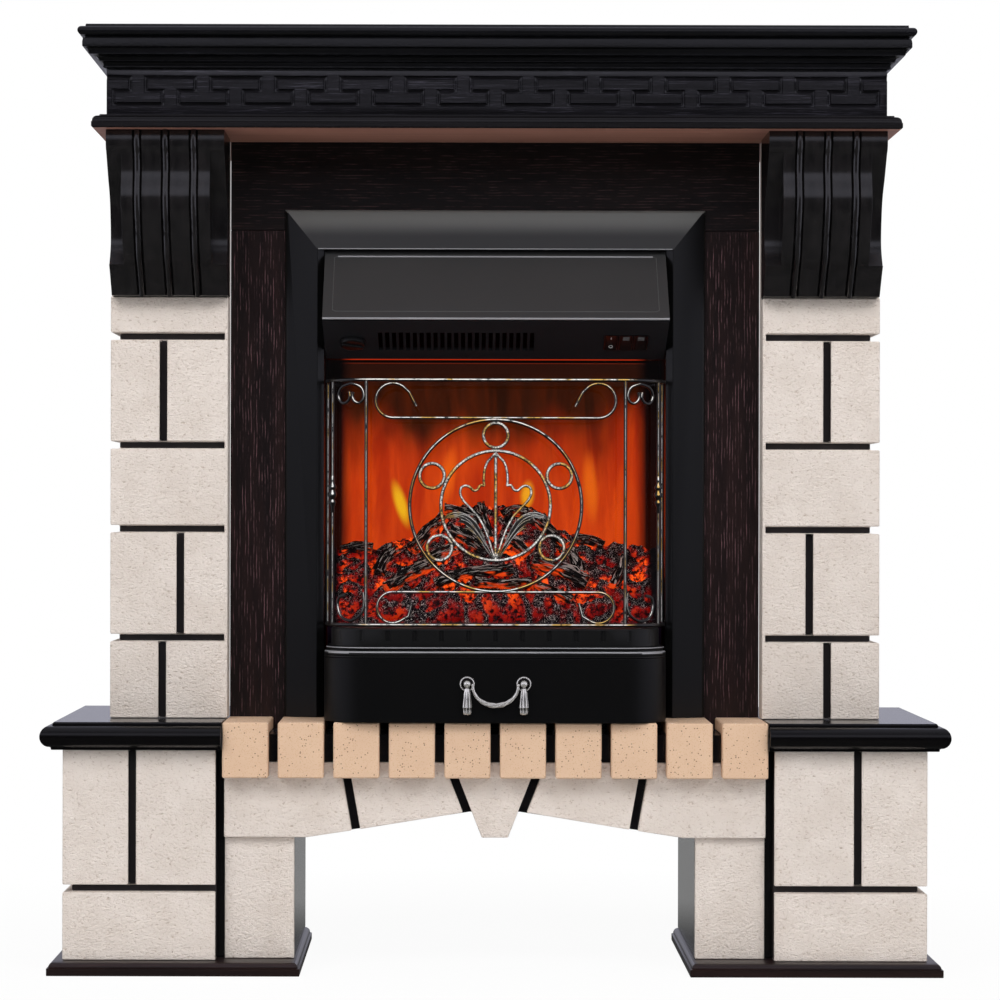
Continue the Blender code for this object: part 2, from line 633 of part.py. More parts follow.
def make_hood(metal, panel_metal):
    """Sloping hood sheet with folded cheeks, and the control panel with grille slots."""
    sheet = [HOOD_TOP, HOOD_EDGE, HOOD_EDGE + Vector((0, 0.004, -SHEET)), HOOD_EDGE + Vector((0, 0.006, 0.001)),
             HOOD_TOP + Vector((0, 0.0035, -SHEET))]
    hood = extrude("hood", [(p.y, p.z) for p in sheet], "X", -HOOD_HALF, HOOD_HALF, metal)
    frame, run = panel_frame()
    margin = 0.008
    panel = box("control_panel", (-HOOD_HALF, -run / 2, -PANEL), (HOOD_HALF, run / 2 - margin, 0.0), panel_metal)
    panel.data.transform(Matrix.Translation(panel.location))
    panel.matrix_world = frame
    cheek = [HOOD_TOP + Vector((0, 0.002, -0.0012)), HOOD_EDGE + Vector((0, 0.003, 0.0005)),
             HOOD_EDGE + Vector((0, 0.012, 0.002)), PANEL_FOOT + Vector((0, -0.002, 0.009))]
    cheeks = []
    for side, tag in ((-1, "left"), (1, "right")):
        low, high = sorted((side * (HOOD_HALF - SHEET), side * (HOOD_HALF - GAP)))
        cheeks.append(extrude("hood_cheek_" + tag, [(p.y, p.z) for p in cheek], "X", low, high))
    combine(hood, cheeks, "UNION")
    cuts = []
    for slot in range(SLOTS):
        middle = SLOT_MIDDLE + (slot - (SLOTS - 1) / 2) * SLOT_PITCH
        cuts.append(panel_cut(f"slot_{slot}", middle, SLOT_WIDTH, SLOT_LENGTH))
    for number, name in enumerate(ROCKERS):
        across = ROCKER_LAST - (len(ROCKERS) - 1 - number) * ROCKER_PITCH
        cuts.append(panel_cut(name + "_window", across, ROCKER_WIDTH + 2 * GAP, ROCKER_LENGTH + 0.003))
    cuts.append(round_bar("knob_hole", (KNOB_X, -CONTROL_DROP, -2 * PANEL), (KNOB_X, -CONTROL_DROP, PANEL),
                          KNOB_SHAFT + GAP))
    for cut in cuts:
        cut.matrix_world = frame @ Matrix.Translation(cut.location)
    combine(panel, cuts, "DIFFERENCE")
    return frame


def make_controls(frame, knob_finish, rocker_finish):
    """Thermostat knob and three rocker switches in the control panel."""
    height = KNOB_HEIGHT
    profile = [(0.0, height), (KNOB_RADIUS - 0.003, height), (KNOB_RADIUS - 0.001, height - 0.002),
               (KNOB_RADIUS, GAP), (KNOB_SHAFT, GAP), (KNOB_SHAFT, -PANEL - 0.004), (0.0, -PANEL - 0.004)]
    knob = turned("thermostat_knob", profile, knob_finish, 24)
    knob.matrix_world = frame @ Matrix.Translation((KNOB_X, -CONTROL_DROP, 0.0))
    for number, name in enumerate(ROCKERS):
        across = ROCKER_LAST - (len(ROCKERS) - 1 - number) * ROCKER_PITCH
        half = ROCKER_LENGTH / 2
        tip = 0.0035
        outline = [(-half, tip), (0.0, tip - half * math.tan(ROCKER_TILT)), (half, tip), (half - 0.001, -0.002),
                   (0.003, -0.006), (-0.003, -0.006), (0.001 - half, -0.002)]
        rocker = extrude(name, outline, "X", -ROCKER_WIDTH / 2, ROCKER_WIDTH / 2, rocker_finish)
        rocker.data.transform(Matrix.Translation(rocker.location))
        tilt = Matrix.Rotation(-ROCKER_TILT, 4, "X")
        rocker.matrix_world = frame @ Matrix.Translation((across, -CONTROL_DROP, -PANEL / 2)) @ tilt


def turned(name, profile, finish, steps, parent=None):
    """Solid turned about Z from a profile of (radius, height) points, top to bottom."""
    mesh = bmesh.new()
    points = [mesh.verts.new((radius, 0.0, height)) for radius, height in profile]
    for first, second in zip(points, points[1:]):
        mesh.edges.new((first, second))
    made = place(name, mesh, finish, (0, 0, 0))
    made.parent = parent
    screw = made.modifiers.new("turn", "SCREW")
    screw.steps = steps
    screw.render_steps = steps
    screw.use_merge_vertices = True
    screw.merge_threshold = 0.00001
    return made


def make_fire(glass, ember, log, screen, steel, lamp):
    """Glass, fuel bed, logs, flame screen, spindle, motor and lamp inside the case."""
    inner = CASE_HALF - CASE_WALL
    floor = HEARTH_TOP + GAP + CASE_WALL + GAP
    box("window_glass", (GAP - inner, GLASS_FRONT, FENDER_TOP + GAP),
        (inner - GAP, GLASS_FRONT + GLASS, PANEL_FOOT.z - 0.001), glass)
    front = GLASS_FRONT + GLASS + GAP
    slope = Vector((BED_BACK - front, BED_BACK_TOP - BED_FRONT_TOP)).normalized()
    extrude("ember_bed", [(front, floor), (BED_BACK, floor), (BED_BACK, BED_BACK_TOP), (front, BED_FRONT_TOP)],
            "X", 0.004 - inner, inner - 0.004, ember)

    def rest(depth, radius, lift=0.0):
        """Height of a log's middle where it lies on the slope, or lifted on to another log."""
        return BED_FRONT_TOP + (radius + GAP + slope.y * (depth - front)) / slope.x + lift

    stout = LOG_REACH * 0.16
    back = BED_BACK - stout - 0.001
    logs = [((-0.733, 0.0), (0.70, 0.0), stout, 0.0), ((-0.413, 0.0), (0.387, 0.002), stout * 0.83, stout * 1.33),
            ((-1.0, 0.037), (-0.033, 0.015), stout * 0.58, 0.0), ((0.033, 0.015), (0.967, 0.039), stout * 0.62, 0.0)]
    pieces = []
    for number, ((left, left_out), (right, right_out), radius, lift) in enumerate(logs):
        left, right = left * LOG_REACH, right * LOG_REACH
        near, far = back - left_out, back - right_out
        pieces.append(round_bar(f"log_{number}", (left, near, rest(near, radius, lift)),
                                (right, far, rest(far, radius, lift)), radius, log if number == 0 else None))
    pieces[0].name = "log_set"
    combine(pieces[0], pieces[1:], "UNION")
    box("flame_screen", (GAP - inner, SCREEN_FRONT, floor), (inner - GAP, SCREEN_FRONT + SCREEN, SCREEN_TOP), screen)
    motor_end = MOTOR_LENGTH - inner
    round_bar("spindle_motor", (GAP - inner, SPINDLE.y, SPINDLE.z), (motor_end, SPINDLE.y, SPINDLE.z),
              MOTOR_RADIUS, steel, 20)
    rod_end = inner - 0.0015
    rod = round_bar("flame_spindle", (motor_end + GAP, SPINDLE.y, SPINDLE.z), (rod_end, SPINDLE.y, SPINDLE.z),
                    SPINDLE_ROD, steel, 10)
    paddles = []
    span = (inner - 0.030 - motor_end - 0.010) / PADDLES
    for number in range(PADDLES):
        left = motor_end + 0.010 + number * span
        paddle = box(f"paddle_{number}", (left, -PADDLE, -0.0005), (left + span * 0.7, PADDLE, 0.0005))
        turn = Matrix.Rotation(math.pi * number / PADDLES, 4, "X")
        centre = Vector((left + span * 0.35, SPINDLE.y, SPINDLE.z))
        paddle.matrix_world = Matrix.Translation(centre) @ turn
        paddles.append(paddle)
    combine(rod, paddles, "UNION")
    box("lamp_bar", (-LAMP_HALF, SCREEN_FRONT + SCREEN + 0.004, floor),
        (LAMP_HALF, CASE_BACK - 0.024, floor + LAMP_HEIGHT), lamp)


def make_heater(steel, rotor_finish):
    """Fan heater hung under the top of the case, with its cross-flow rotor in a notch."""
    top = CASE_TOP - CASE_WALL - GAP
    heater = box("heater_unit", (SLOT_MIDDLE - HEATER_HALF, -0.012, HEATER_BASE),
                 (SLOT_MIDDLE + HEATER_HALF, HEATER_BACK, top), steel)
    half = ROTOR_LENGTH / 2
    room = ROTOR_RADIUS + 0.003
    notch = box("rotor_notch", (ROTOR.x - half - 0.0005, ROTOR.y - room, HEATER_BASE - 0.002),
                (ROTOR.x + half + 0.0005, HEATER_BACK + 0.002, ROTOR.z + room))
    axle = 0.003
    stub = half + 0.012
    bore = round_bar("rotor_bore", (ROTOR.x - stub - 0.001, ROTOR.y, ROTOR.z),
                     (ROTOR.x + stub + 0.001, ROTOR.y, ROTOR.z), axle + GAP)
    combine(heater, [notch, bore], "DIFFERENCE")
    outline = []
    for tooth in range(ROTOR_VANES):
        for size, share in ((1.0, 0.0), (1.0, 0.3), (0.72, 0.5), (0.72, 0.8)):
            radius = ROTOR_RADIUS * size
            turn = 2 * math.pi * (tooth + share) / ROTOR_VANES
            outline.append((ROTOR.y + radius * math.cos(turn), ROTOR.z + radius * math.sin(turn)))
    rotor = extrude("blower_rotor", outline, "X", ROTOR.x - half, ROTOR.x + half, rotor_finish)
    shaft = round_bar("rotor_axle", (ROTOR.x - stub, ROTOR.y, ROTOR.z), (ROTOR.x + stub, ROTOR.y, ROTOR.z), axle)
    combine(rotor, [shaft], "UNION")


def make_fender(metal):
    """Two-tier fender, carried on two runners that the ash drawer slides along."""
    plan = bay(FENDER_HALF, FENDER_FRONT, FENDER_BACK, FENDER_CORNER)
    fender = extrude("fender", plan, "Z", FENDER_BASE + GAP, FENDER_TOP, metal)
    sink = 0.002
    runners = []
    for side, tag in ((-1, "left"), (1, "right")):
        low = (RUNNER_X - RUNNER / 2, FENDER_BACK - RUNNER_LENGTH, SHELF_TOP + GAP)
        high = (RUNNER_X + RUNNER / 2, FENDER_BACK - sink, FENDER_BASE + GAP + sink)
        runners.append(box("runner_" + tag, *sided(side, low, high)))
    combine(fender, runners, "UNION")


def make_drawer(metal, pewter):
    """Ash drawer with its bay-shaped front, and the drop handle on it."""
    slide = bpy.data.objects.new("drawer_slide", None)
    slide.location = (0.0, FENDER_FRONT, HANDLE_HEIGHT)
    COLLECTION.objects.link(slide)
    base = SHELF_TOP + GAP
    plan = bay(FENDER_HALF, FENDER_FRONT, FENDER_BACK, FENDER_CORNER)
    drawer = extrude("ash_drawer", plan, "Z", base, FENDER_BASE, metal, parent=slide)
    wall = 0.010
    floor = 0.004
    margin = 0.002
    tray_half = RUNNER_X - RUNNER / 2 - 0.009
    cuts = [box("tray", (-tray_half, FENDER_FRONT + wall, base + floor),
                (tray_half, FENDER_BACK - wall / 2, FENDER_BASE + margin))]
    for side, tag in ((-1, "left"), (1, "right")):
        low = (RUNNER_X - RUNNER / 2 - GAP, FENDER_BACK - RUNNER_LENGTH - GAP, base - margin)
        high = (RUNNER_X + RUNNER / 2 + GAP, FENDER_BACK + margin, FENDER_BASE + margin)
        cuts.append(box("runner_slot_" + tag, *sided(side, low, high)))
    combine(drawer, cuts, "DIFFERENCE")
    face = FENDER_FRONT - GAP
    depth = ROSETTE_DEPTH
    ball = ROSETTE_BALL
    profile = [(0.0, depth), (ball * 0.7, depth - 0.0008), (ball, depth - 0.003), (ball, 0.0032),
               (ROSETTE_RADIUS - 0.002, 0.003), (ROSETTE_RADIUS, 0.0015), (ROSETTE_RADIUS, 0.0), (0.0, 0.0)]
    tassel_radius, tassel_length = TASSEL
    for side, tag in ((-1, "left"), (1, "right")):
        rosette = turned("handle_rosette_" + tag, profile, pewter, 20, slide)
        rosette.rotation_euler = (math.pi / 2, 0.0, 0.0)
        rosette.location = (side * HANDLE_HALF, face - FENDER_FRONT, 0.0)
        hang = face - tassel_radius - 0.0005
        tassel = round_bar("tassel_" + tag, (side * HANDLE_HALF, hang, HANDLE_HEIGHT),
                           (side * HANDLE_HALF, hang, HANDLE_HEIGHT - tassel_length), tassel_radius)
        combine(rosette, [tassel], "UNION")
    pivot = Vector((0.0, face - depth - 0.0005 - BAIL_RADIUS + 0.004, HANDLE_HEIGHT))
    hinge = bpy.data.objects.new("bail_hinge", None)
    hinge.location = pivot - slide.location
    hinge.parent = slide
    COLLECTION.objects.link(hinge)
    reach = HANDLE_HALF - ball - GAP - BAIL_RADIUS
    turns = [math.pi * step / 16 for step in range(17)]
    points = [(reach * math.cos(a), pivot.y, pivot.z - BAIL_DROP * math.sin(a)) for a in turns]
    bail = wire("handle_bail", points, BAIL_RADIUS, pewter, sides=2)
    bail.data.transform(Matrix.Translation(bail.location - pivot))
    bail.location = (0.0, 0.0, 0.0)
    bail.parent = hinge


def make_guard(brass):
    """Wire guard on the fender: two bay rails, posts, two scroll bars and rings."""
    foot = FENDER_TOP + GAP + GUARD_WIRE
    thin = GUARD_WIRE * 0.75
    rear = FENDER_BACK - 0.012
    plan = bay(GUARD_HALF, GUARD_FRONT, rear, GUARD_CORNER, 8)
    guard = wire("fire_guard", [(x, y, GUARD_TOP) for x, y in plan], GUARD_WIRE, brass)
    tools = [wire("guard_foot", [(x, y, foot) for x, y in plan], GUARD_WIRE)]
    flat = GUARD_HALF - GUARD_CORNER
    for side, tag in ((-1, "left"), (1, "right")):
        places = [(side * GUARD_HALF, rear - 0.008)]
        for angle in GUARD_POSTS:
            turn = math.radians(angle)
            places.append((side * (flat + GUARD_CORNER * math.sin(turn)),
                           GUARD_FRONT + GUARD_CORNER * (1 - math.cos(turn))))
        for number, (x, y) in enumerate(places):
            tools.append(wire(f"guard_post_{tag}_{number}", [(x, y, foot), (x, y, GUARD_TOP)], thin))
    circles = [("outer", 0.0, RING_CENTRE, RING_OUTER, 32), ("inner", 0.0, RING_CENTRE, RING_INNER, 24)]
    middle = (RING_OUTER + RING_INNER) / 2
    for number, angle in enumerate(RING_ANGLES):
        turn = math.radians(angle)
        circles.append((number, middle * math.cos(turn), RING_CENTRE + middle * math.sin(turn), RING_SMALL, 14))
    for name, x, z, radius, count in circles:
        points = arc((x, z), radius, 5, 365, count)[:-1]
        tools.append(wire(f"guard_ring_{name}", [(a, GUARD_FRONT, b) for a, b in points], thin, closed=True))
    for up, rail in ((1, GUARD_TOP), (-1, foot)):
        bar = RING_CENTRE + up * (RING_OUTER + SCROLL_BAR)
        radius = (abs(rail - bar) - 0.0025) / 2
        curl = arc((SCROLL_X, bar + up * radius), radius, -90 * up, 120 * up, 8)
        curl.append((SCROLL_X - SCROLL_TIP[0], bar + up * (radius - SCROLL_TIP[1])))
        points = [(-x, z) for x, z in reversed(curl)] + curl
        tools.append(wire(f"guard_scroll_{up}", [(x, GUARD_FRONT, z) for x, z in points], thin))
    combine(guard, tools, "UNION")


def main():
    clear_scene()
    stone = material("cast_stone", (0.77, 0.68, 0.62), 0.85)
    brick = material("terrazzo_brick", (0.73, 0.51, 0.34), 0.6)
    wood = material("dark_wood", (0.012, 0.009, 0.011), 0.35)
    metal = material("black_steel", (0.012, 0.012, 0.012), 0.4, 0.6)
    brass = material("antique_brass", (0.30, 0.19, 0.07), 0.4, 0.9)
    pewter = material("pewter", (0.35, 0.33, 0.30), 0.35, 1.0)
    glass = material("smoked_glass", (0.08, 0.05, 0.04), 0.1)
    ember = material("ember_bed", (0.35, 0.05, 0.02), 0.8)
    log = material("charred_log", (0.05, 0.03, 0.02), 0.9)
    screen = material("flame_screen", (0.60, 0.12, 0.03), 0.3)
    steel = material("plated_steel", (0.5, 0.5, 0.5), 0.35, 1.0)
    plastic = material("black_plastic", (0.015, 0.015, 0.015), 0.4)
    make_mantel(wood)
    for side, tag in ((-1, "left"), (1, "right")):
        make_corbel(side, "corbel_" + tag, wood)
        make_pilaster(side, "pilaster_" + tag, stone)
        make_pedestal(side, "pedestal_stone_" + tag, stone)
        make_leg(side, tag, stone, wood)
    make_hearth(brick, wood)
    make_apron(stone, wood)
    make_fascia(wood)
    make_frame(metal)
    make_case(metal)
    frame = make_hood(metal, metal)
    make_controls(frame, plastic, plastic)
    make_fire(glass, ember, log, screen, steel, plastic)
    make_heater(steel, plastic)
    make_fender(metal)
    make_drawer(metal, pewter)
    make_guard(brass)


main()
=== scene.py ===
"""Electric fireplace suite: the looks of a stone-effect surround with a black mantel and its inset electric fire."""
import math

import bpy
from mathutils import Matrix, Vector, noise


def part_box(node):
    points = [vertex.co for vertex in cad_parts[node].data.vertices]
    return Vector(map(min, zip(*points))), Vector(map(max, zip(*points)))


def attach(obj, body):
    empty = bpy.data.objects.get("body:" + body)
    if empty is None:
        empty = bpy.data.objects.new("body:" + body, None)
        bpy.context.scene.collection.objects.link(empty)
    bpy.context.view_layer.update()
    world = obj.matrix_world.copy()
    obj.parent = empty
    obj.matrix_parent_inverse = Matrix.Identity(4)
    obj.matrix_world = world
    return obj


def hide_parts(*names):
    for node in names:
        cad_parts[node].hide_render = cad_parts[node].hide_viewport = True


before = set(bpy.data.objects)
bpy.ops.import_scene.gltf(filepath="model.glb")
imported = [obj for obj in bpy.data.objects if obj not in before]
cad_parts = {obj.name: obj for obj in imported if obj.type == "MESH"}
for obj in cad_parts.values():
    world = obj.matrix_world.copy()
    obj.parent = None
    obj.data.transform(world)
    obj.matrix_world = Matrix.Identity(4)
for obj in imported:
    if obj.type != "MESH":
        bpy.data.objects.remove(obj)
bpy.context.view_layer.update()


# Camera: level with the middle of the guard, 3.94 m in front of the suite's own middle, with a catalogue's long lens.
# The picture was cut so that the optical axis lies left of and below its middle, hence the two shifts.
lens = bpy.data.cameras.new("camera")
lens.lens = 118.8
lens.sensor_width = 36.0
lens.shift_x = 0.045
lens.shift_y = 0.013
camera = bpy.data.objects.new("camera", lens)
camera.location = (-0.047, -3.9435, 0.534)
camera.rotation_euler = (math.radians(90), math.radians(-0.13), 0.0)
bpy.context.scene.collection.objects.link(camera)
bpy.context.scene.camera = camera
bpy.context.scene.view_settings.view_transform = "Standard"


# Studio: a white floor and a white room, as in a cut-out catalogue picture, with large soft lamps.
# The floor glows white to the camera and takes a faint shadow only close to the plinths. Lacquer and metal mirror
# a pale ceiling, a soft box on either side and a lower one in front, and no lamp.
def linear(code):
    """Linear colour of an sRGB hex value."""
    shares = [int(code[at:at + 2], 16) / 255 for at in (0, 2, 4)]
    return (*[s / 12.92 if s <= 0.04045 else ((s + 0.055) / 1.055) ** 2.4 for s in shares], 1.0)


def fill(tree, node, sockets):
    """Fill or link a node's sockets, where a node stands for its first output."""
    for name, value in sockets.items():
        if isinstance(value, bpy.types.Node):
            value = value.outputs[0]
        if isinstance(value, bpy.types.NodeSocket):
            tree.links.new(value, node.inputs[name])
        else:
            node.inputs[name].default_value = value
    return node


def add(tree, kind, sockets=None, **settings):
    """Add a shader node with its settings, and fill or link its sockets."""
    made = tree.nodes.new("ShaderNode" + kind)
    for name, value in settings.items():
        setattr(made, name, value)
    return fill(tree, made, sockets or {})


def remap(tree, value, low, high, least=0.0, most=1.0, **settings):
    """Value moved from the range low to high into the range least to most, and held there."""
    ends = {"From Min": low, "From Max": high, "To Min": least, "To Max": most}
    return add(tree, "MapRange", {"Value": value, **ends}, **settings)


def maths(tree, operation, *values, **settings):
    """Math node on its values."""
    return add(tree, "Math", dict(enumerate(values)), operation=operation, **settings)


def product(tree, value, *others):
    """Product of two or more values."""
    for other in others:
        value = maths(tree, "MULTIPLY", value, other)
    return value


def begin(name, primitive, scale=(1.0, 1.0, 1.0), **shape):
    """Add a named primitive with nothing else selected, and keep its place and scale in its mesh."""
    bpy.ops.object.select_all(action="DESELECT")
    primitive(**shape)
    piece = bpy.context.object
    piece.name = name
    piece.scale = scale
    bpy.ops.object.transform_apply()
    return piece


floor = begin("studio_floor", bpy.ops.mesh.primitive_plane_add, size=3.4, location=(0.0, 0.35, 0.0))
paper = bpy.data.materials.new("white_paper")
paper.use_nodes = True
tree = paper.node_tree
tree.nodes.clear()
place = add(tree, "TexCoord").outputs["Object"]
reach = add(tree, "VectorMath", {0: place, 1: (0.0, -0.1, 0.0)}, operation="DISTANCE")
near = remap(tree, reach.outputs["Value"], 0.55, 1.15, 0.05, 0.0)
behind = remap(tree, add(tree, "SeparateXYZ", {0: place}).outputs["Y"], 0.2, 0.6, 0.10, 0.38)
seen = add(tree, "LightPath")
matt = add(tree, "BsdfDiffuse", {"Color": linear("F4F4F4")})
glow = add(tree, "Emission", {"Color": linear("FFFFFF"), "Strength": 1.0})
dim = add(tree, "Emission", {"Color": linear("FFFFFF"), "Strength": behind})
cut = add(tree, "MixShader", {0: near, 1: glow, 2: matt})
others = add(tree, "MixShader", {0: seen.outputs["Is Glossy Ray"], 1: matt, 2: dim})
whole = add(tree, "MixShader", {0: seen.outputs["Is Camera Ray"], 1: others, 2: cut})
add(tree, "OutputMaterial", {"Surface": whole})
floor.data.materials.append(paper)

world = bpy.data.worlds.new("studio")
bpy.context.scene.world = world
world.use_nodes = True
tree = world.node_tree
tree.nodes.clear()
ray = add(tree, "TexCoord").outputs["Generated"]
axes = add(tree, "SeparateXYZ", {0: ray})
facing = add(tree, "VectorMath", {0: ray, 1: (0.0, 0.55, 0.83)}, operation="DOT_PRODUCT")
ceiling = remap(tree, facing.outputs["Value"], -0.34, 0.80, 0.03, 0.80, interpolation_type="SMOOTHSTEP")
side_box = remap(tree, maths(tree, "ABSOLUTE", axes.outputs["X"]), 0.62, 0.76, 0.0, 1.1)
over = remap(tree, axes.outputs["Z"], 0.13, 0.24)
under = remap(tree, axes.outputs["Z"], 0.62, 0.50)
ahead = remap(tree, axes.outputs["Y"], -0.30, -0.60, 0.0, 0.9)
boxes = maths(tree, "MAXIMUM", side_box, product(tree, over, under, ahead))
brightest = maths(tree, "MAXIMUM", ceiling, boxes)
seen = add(tree, "LightPath")
room = add(tree, "Background", {"Color": linear("FFFFFF"), "Strength": 0.34})
mirrored = add(tree, "Background", {"Color": linear("EDEDFF"), "Strength": brightest})
white = add(tree, "Background", {"Color": linear("FFFFFF"), "Strength": 1.0})
gloss = add(tree, "MixShader", {0: seen.outputs["Is Glossy Ray"], 1: room, 2: mirrored})
bounced = maths(tree, "ADD", seen.outputs["Diffuse Depth"], seen.outputs["Glossy Depth"])
direct = maths(tree, "SUBTRACT", seen.outputs["Is Transmission Ray"], bounced, use_clamp=True)
through = maths(tree, "MAXIMUM", seen.outputs["Is Camera Ray"], direct)
add(tree, "OutputWorld", {"Surface": add(tree, "MixShader", {0: through, 1: gloss, 2: white})})

aim = Vector((0.0, -0.1, 0.55))
for name, spot, size, power in (("lamp_left", (-1.7, -2.4, 2.7), 1.5, 52.0),
                                ("lamp_right", (1.7, -2.4, 2.7), 1.5, 52.0),
                                ("lamp_front", (0.0, -3.4, 1.7), 1.6, 20.0)):
    lamp = bpy.data.lights.new(name, "AREA")
    lamp.size = size
    lamp.energy = power
    holder = bpy.data.objects.new(name, lamp)
    holder.location = spot
    holder.rotation_euler = (aim - Vector(spot)).to_track_quat("-Z", "Y").to_euler()
    holder.visible_glossy = False
    bpy.context.scene.collection.objects.link(holder)


# Two plinths: stained hardwood boards under the legs, with a quarter round along the front and both ends.
# They are shaped by extruding the board's lower face upwards and scaling it in at each line of the moulding.
# The mahogany stain shows warmer here than on the mantel, with a soft sheen along the rounded edge.
def arc(centre, radius, start, end, steps):
    """Points on an arc in a plane, with angles in degrees."""
    turns = [math.radians(start + (end - start) * step / steps) for step in range(steps + 1)]
    return [(centre[0] + radius * math.cos(turn), centre[1] + radius * math.sin(turn)) for turn in turns]


def smooth(angle):
    """Shade the active piece smooth, apart from edges sharper than an angle in degrees."""
    bpy.ops.object.shade_smooth_by_angle(angle=math.radians(angle))


def close_mesh():
    """Turn all faces outward and leave edit mode."""
    bpy.ops.mesh.select_all(action="SELECT")
    bpy.ops.mesh.normals_make_consistent(inside=False)
    bpy.ops.object.mode_set(mode="OBJECT")


def moulded(name, node, profile, ends=(1, 1), corner=0.0, front=None):
    """Board in a node's box whose front and moulded ends follow (inset, height) points from the lower face up."""
    low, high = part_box(node)
    front = low.y if front is None else front
    width, depth, moulded_ends = high.x - low.x, high.y - front, sum(ends)
    inset, height = profile[0]
    left, right = low.x + ends[0] * inset, high.x - ends[1] * inset
    middle = Vector(((left + right) / 2, (front + inset + high.y) / 2, low.z + height))
    piece = begin(name, bpy.ops.mesh.primitive_plane_add, (right - left, depth - inset, 1.0), size=1.0,
                  location=middle)
    bpy.ops.object.mode_set(mode="EDIT")
    if corner:
        bpy.ops.mesh.select_all(action="DESELECT")
        bpy.ops.object.mode_set(mode="OBJECT")
        for vertex in piece.data.vertices:
            vertex.select = vertex.co.y < middle.y
        bpy.ops.object.mode_set(mode="EDIT")
        bpy.ops.mesh.select_mode(type="VERT")
        bpy.ops.mesh.bevel(offset=corner, segments=14, affect="VERTICES")
    bpy.ops.mesh.select_all(action="SELECT")
    hold = {(0, 1): low.x, (1, 0): high.x}.get(ends, (low.x + high.x) / 2)
    for (inset, height), (after, above) in zip(profile, profile[1:]):
        bpy.ops.mesh.extrude_region_move(TRANSFORM_OT_translate={"value": (0.0, 0.0, above - height)})
        wide = (width - moulded_ends * after) / (width - moulded_ends * inset)
        deep = (depth - after) / (depth - inset)
        bpy.ops.transform.resize(value=(wide, deep, 1.0), center_override=(hold, high.y, low.z + above))
    close_mesh()
    smooth(28)
    return piece


def material(name):
    """New material: itself, its node tree, and the object's own coordinates."""
    made = bpy.data.materials.new(name)
    made.use_nodes = True
    return made, made.node_tree, add(made.node_tree, "TexCoord").outputs["Object"]


def shade(tree, sockets):
    """Fill or link sockets of a material's shader."""
    fill(tree, tree.nodes["Principled BSDF"], sockets)


def mottle(tree, place, size, detail, roughness=0.5, distortion=0.0):
    """Noise of one size, or drawn out by a size for each axis."""
    if isinstance(size, tuple):
        place, size = add(tree, "Mapping", {"Vector": place, "Scale": size}), 1.0
    return add(tree, "TexNoise", {"Vector": place, "Scale": size, "Detail": detail, "Roughness": roughness,
                                  "Distortion": distortion})


def blend(tree, share, one, other):
    """Mix of two colours by a share, each a hex value or an earlier mix."""
    ends = [linear(end) if isinstance(end, str) else end for end in (one, other)]
    return add(tree, "Mix", {0: share, 6: ends[0], 7: ends[1]}, data_type="RGBA").outputs[2]


def bump(tree, height, strength, distance):
    """Relief too fine to model."""
    return add(tree, "Bump", {"Height": height, "Strength": strength, "Distance": distance})


def lacquered(name, deep, light, streak, grain, gloss, show, specular=0.5):
    """Stained and lacquered wood: dark body, fine pale pores along the grain, and a satin film."""
    made, tree, place = material(name)
    pores = mottle(tree, place, tuple(900.0 * share for share in grain), 3.0, 0.65)
    bands = mottle(tree, place, tuple(110.0 * share for share in grain), 4.0, 0.55)
    tone = remap(tree, bands, 0.35, 0.68)
    patch = product(tree, remap(tree, pores, 0.54, 0.72, 0.0, show), tone)
    skin = blend(tree, patch, blend(tree, tone, deep, light), streak)
    shade(tree, {"Base Color": skin, "Normal": bump(tree, pores, 0.25, 0.0003), "Roughness": gloss, "IOR": 1.5,
                 "Specular IOR Level": specular})
    return made


def dress(piece, *finishes):
    """Give a piece its materials, in place of any it has."""
    piece.data.materials.clear()
    for finish in finishes:
        piece.data.materials.append(finish)


level_grain = (0.03, 1.0, 1.0)
mahogany = lacquered("mahogany_lacquer", "140A09", "221310", "3E241E", level_grain, 0.34, 0.5)
for side in ("left", "right"):
    low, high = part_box("plinth_" + side)
    foot = [(0.0006, 0.0), (0.0, 0.0008), (0.0, 0.0085), (0.0022, 0.0093)]
    quarter_round = [(0.0080 - x, z) for x, z in arc((0.0, 0.0096), 0.0058, 0, 80, 8)]
    plinth = moulded("plinth_board_" + side, "plinth_" + side, [*foot, *quarter_round, (0.0095, high.z - low.z)])
    dress(plinth, mahogany)
    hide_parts("plinth_" + side)
    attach(plinth, "suite")


# Leg cases and the boards behind the stones: black lacquered chipboard, plain and satin.
# Only the inner side of each leg shows, where it mirrors the bright room at a flat angle.
def activate(piece):
    """Make one object the only selected and active one."""
    bpy.ops.object.select_all(action="DESELECT")
    piece.select_set(True)
    bpy.context.view_layer.objects.active = piece


def open_mesh():
    """Enter edit mode with all of the active piece selected."""
    bpy.ops.object.mode_set(mode="EDIT")
    bpy.ops.mesh.select_all(action="SELECT")


def bevelled(piece, width, segments, edge_slot=-1):
    """Round the sharp edges of the active piece to a width, in another material where that is given."""
    bevel = piece.modifiers.new("edges", "BEVEL")
    bevel.width = width
    bevel.segments = segments
    bevel.limit_method = "ANGLE"
    bevel.angle_limit = math.radians(35)
    bevel.material = edge_slot
    bpy.ops.object.modifier_apply(modifier="edges")


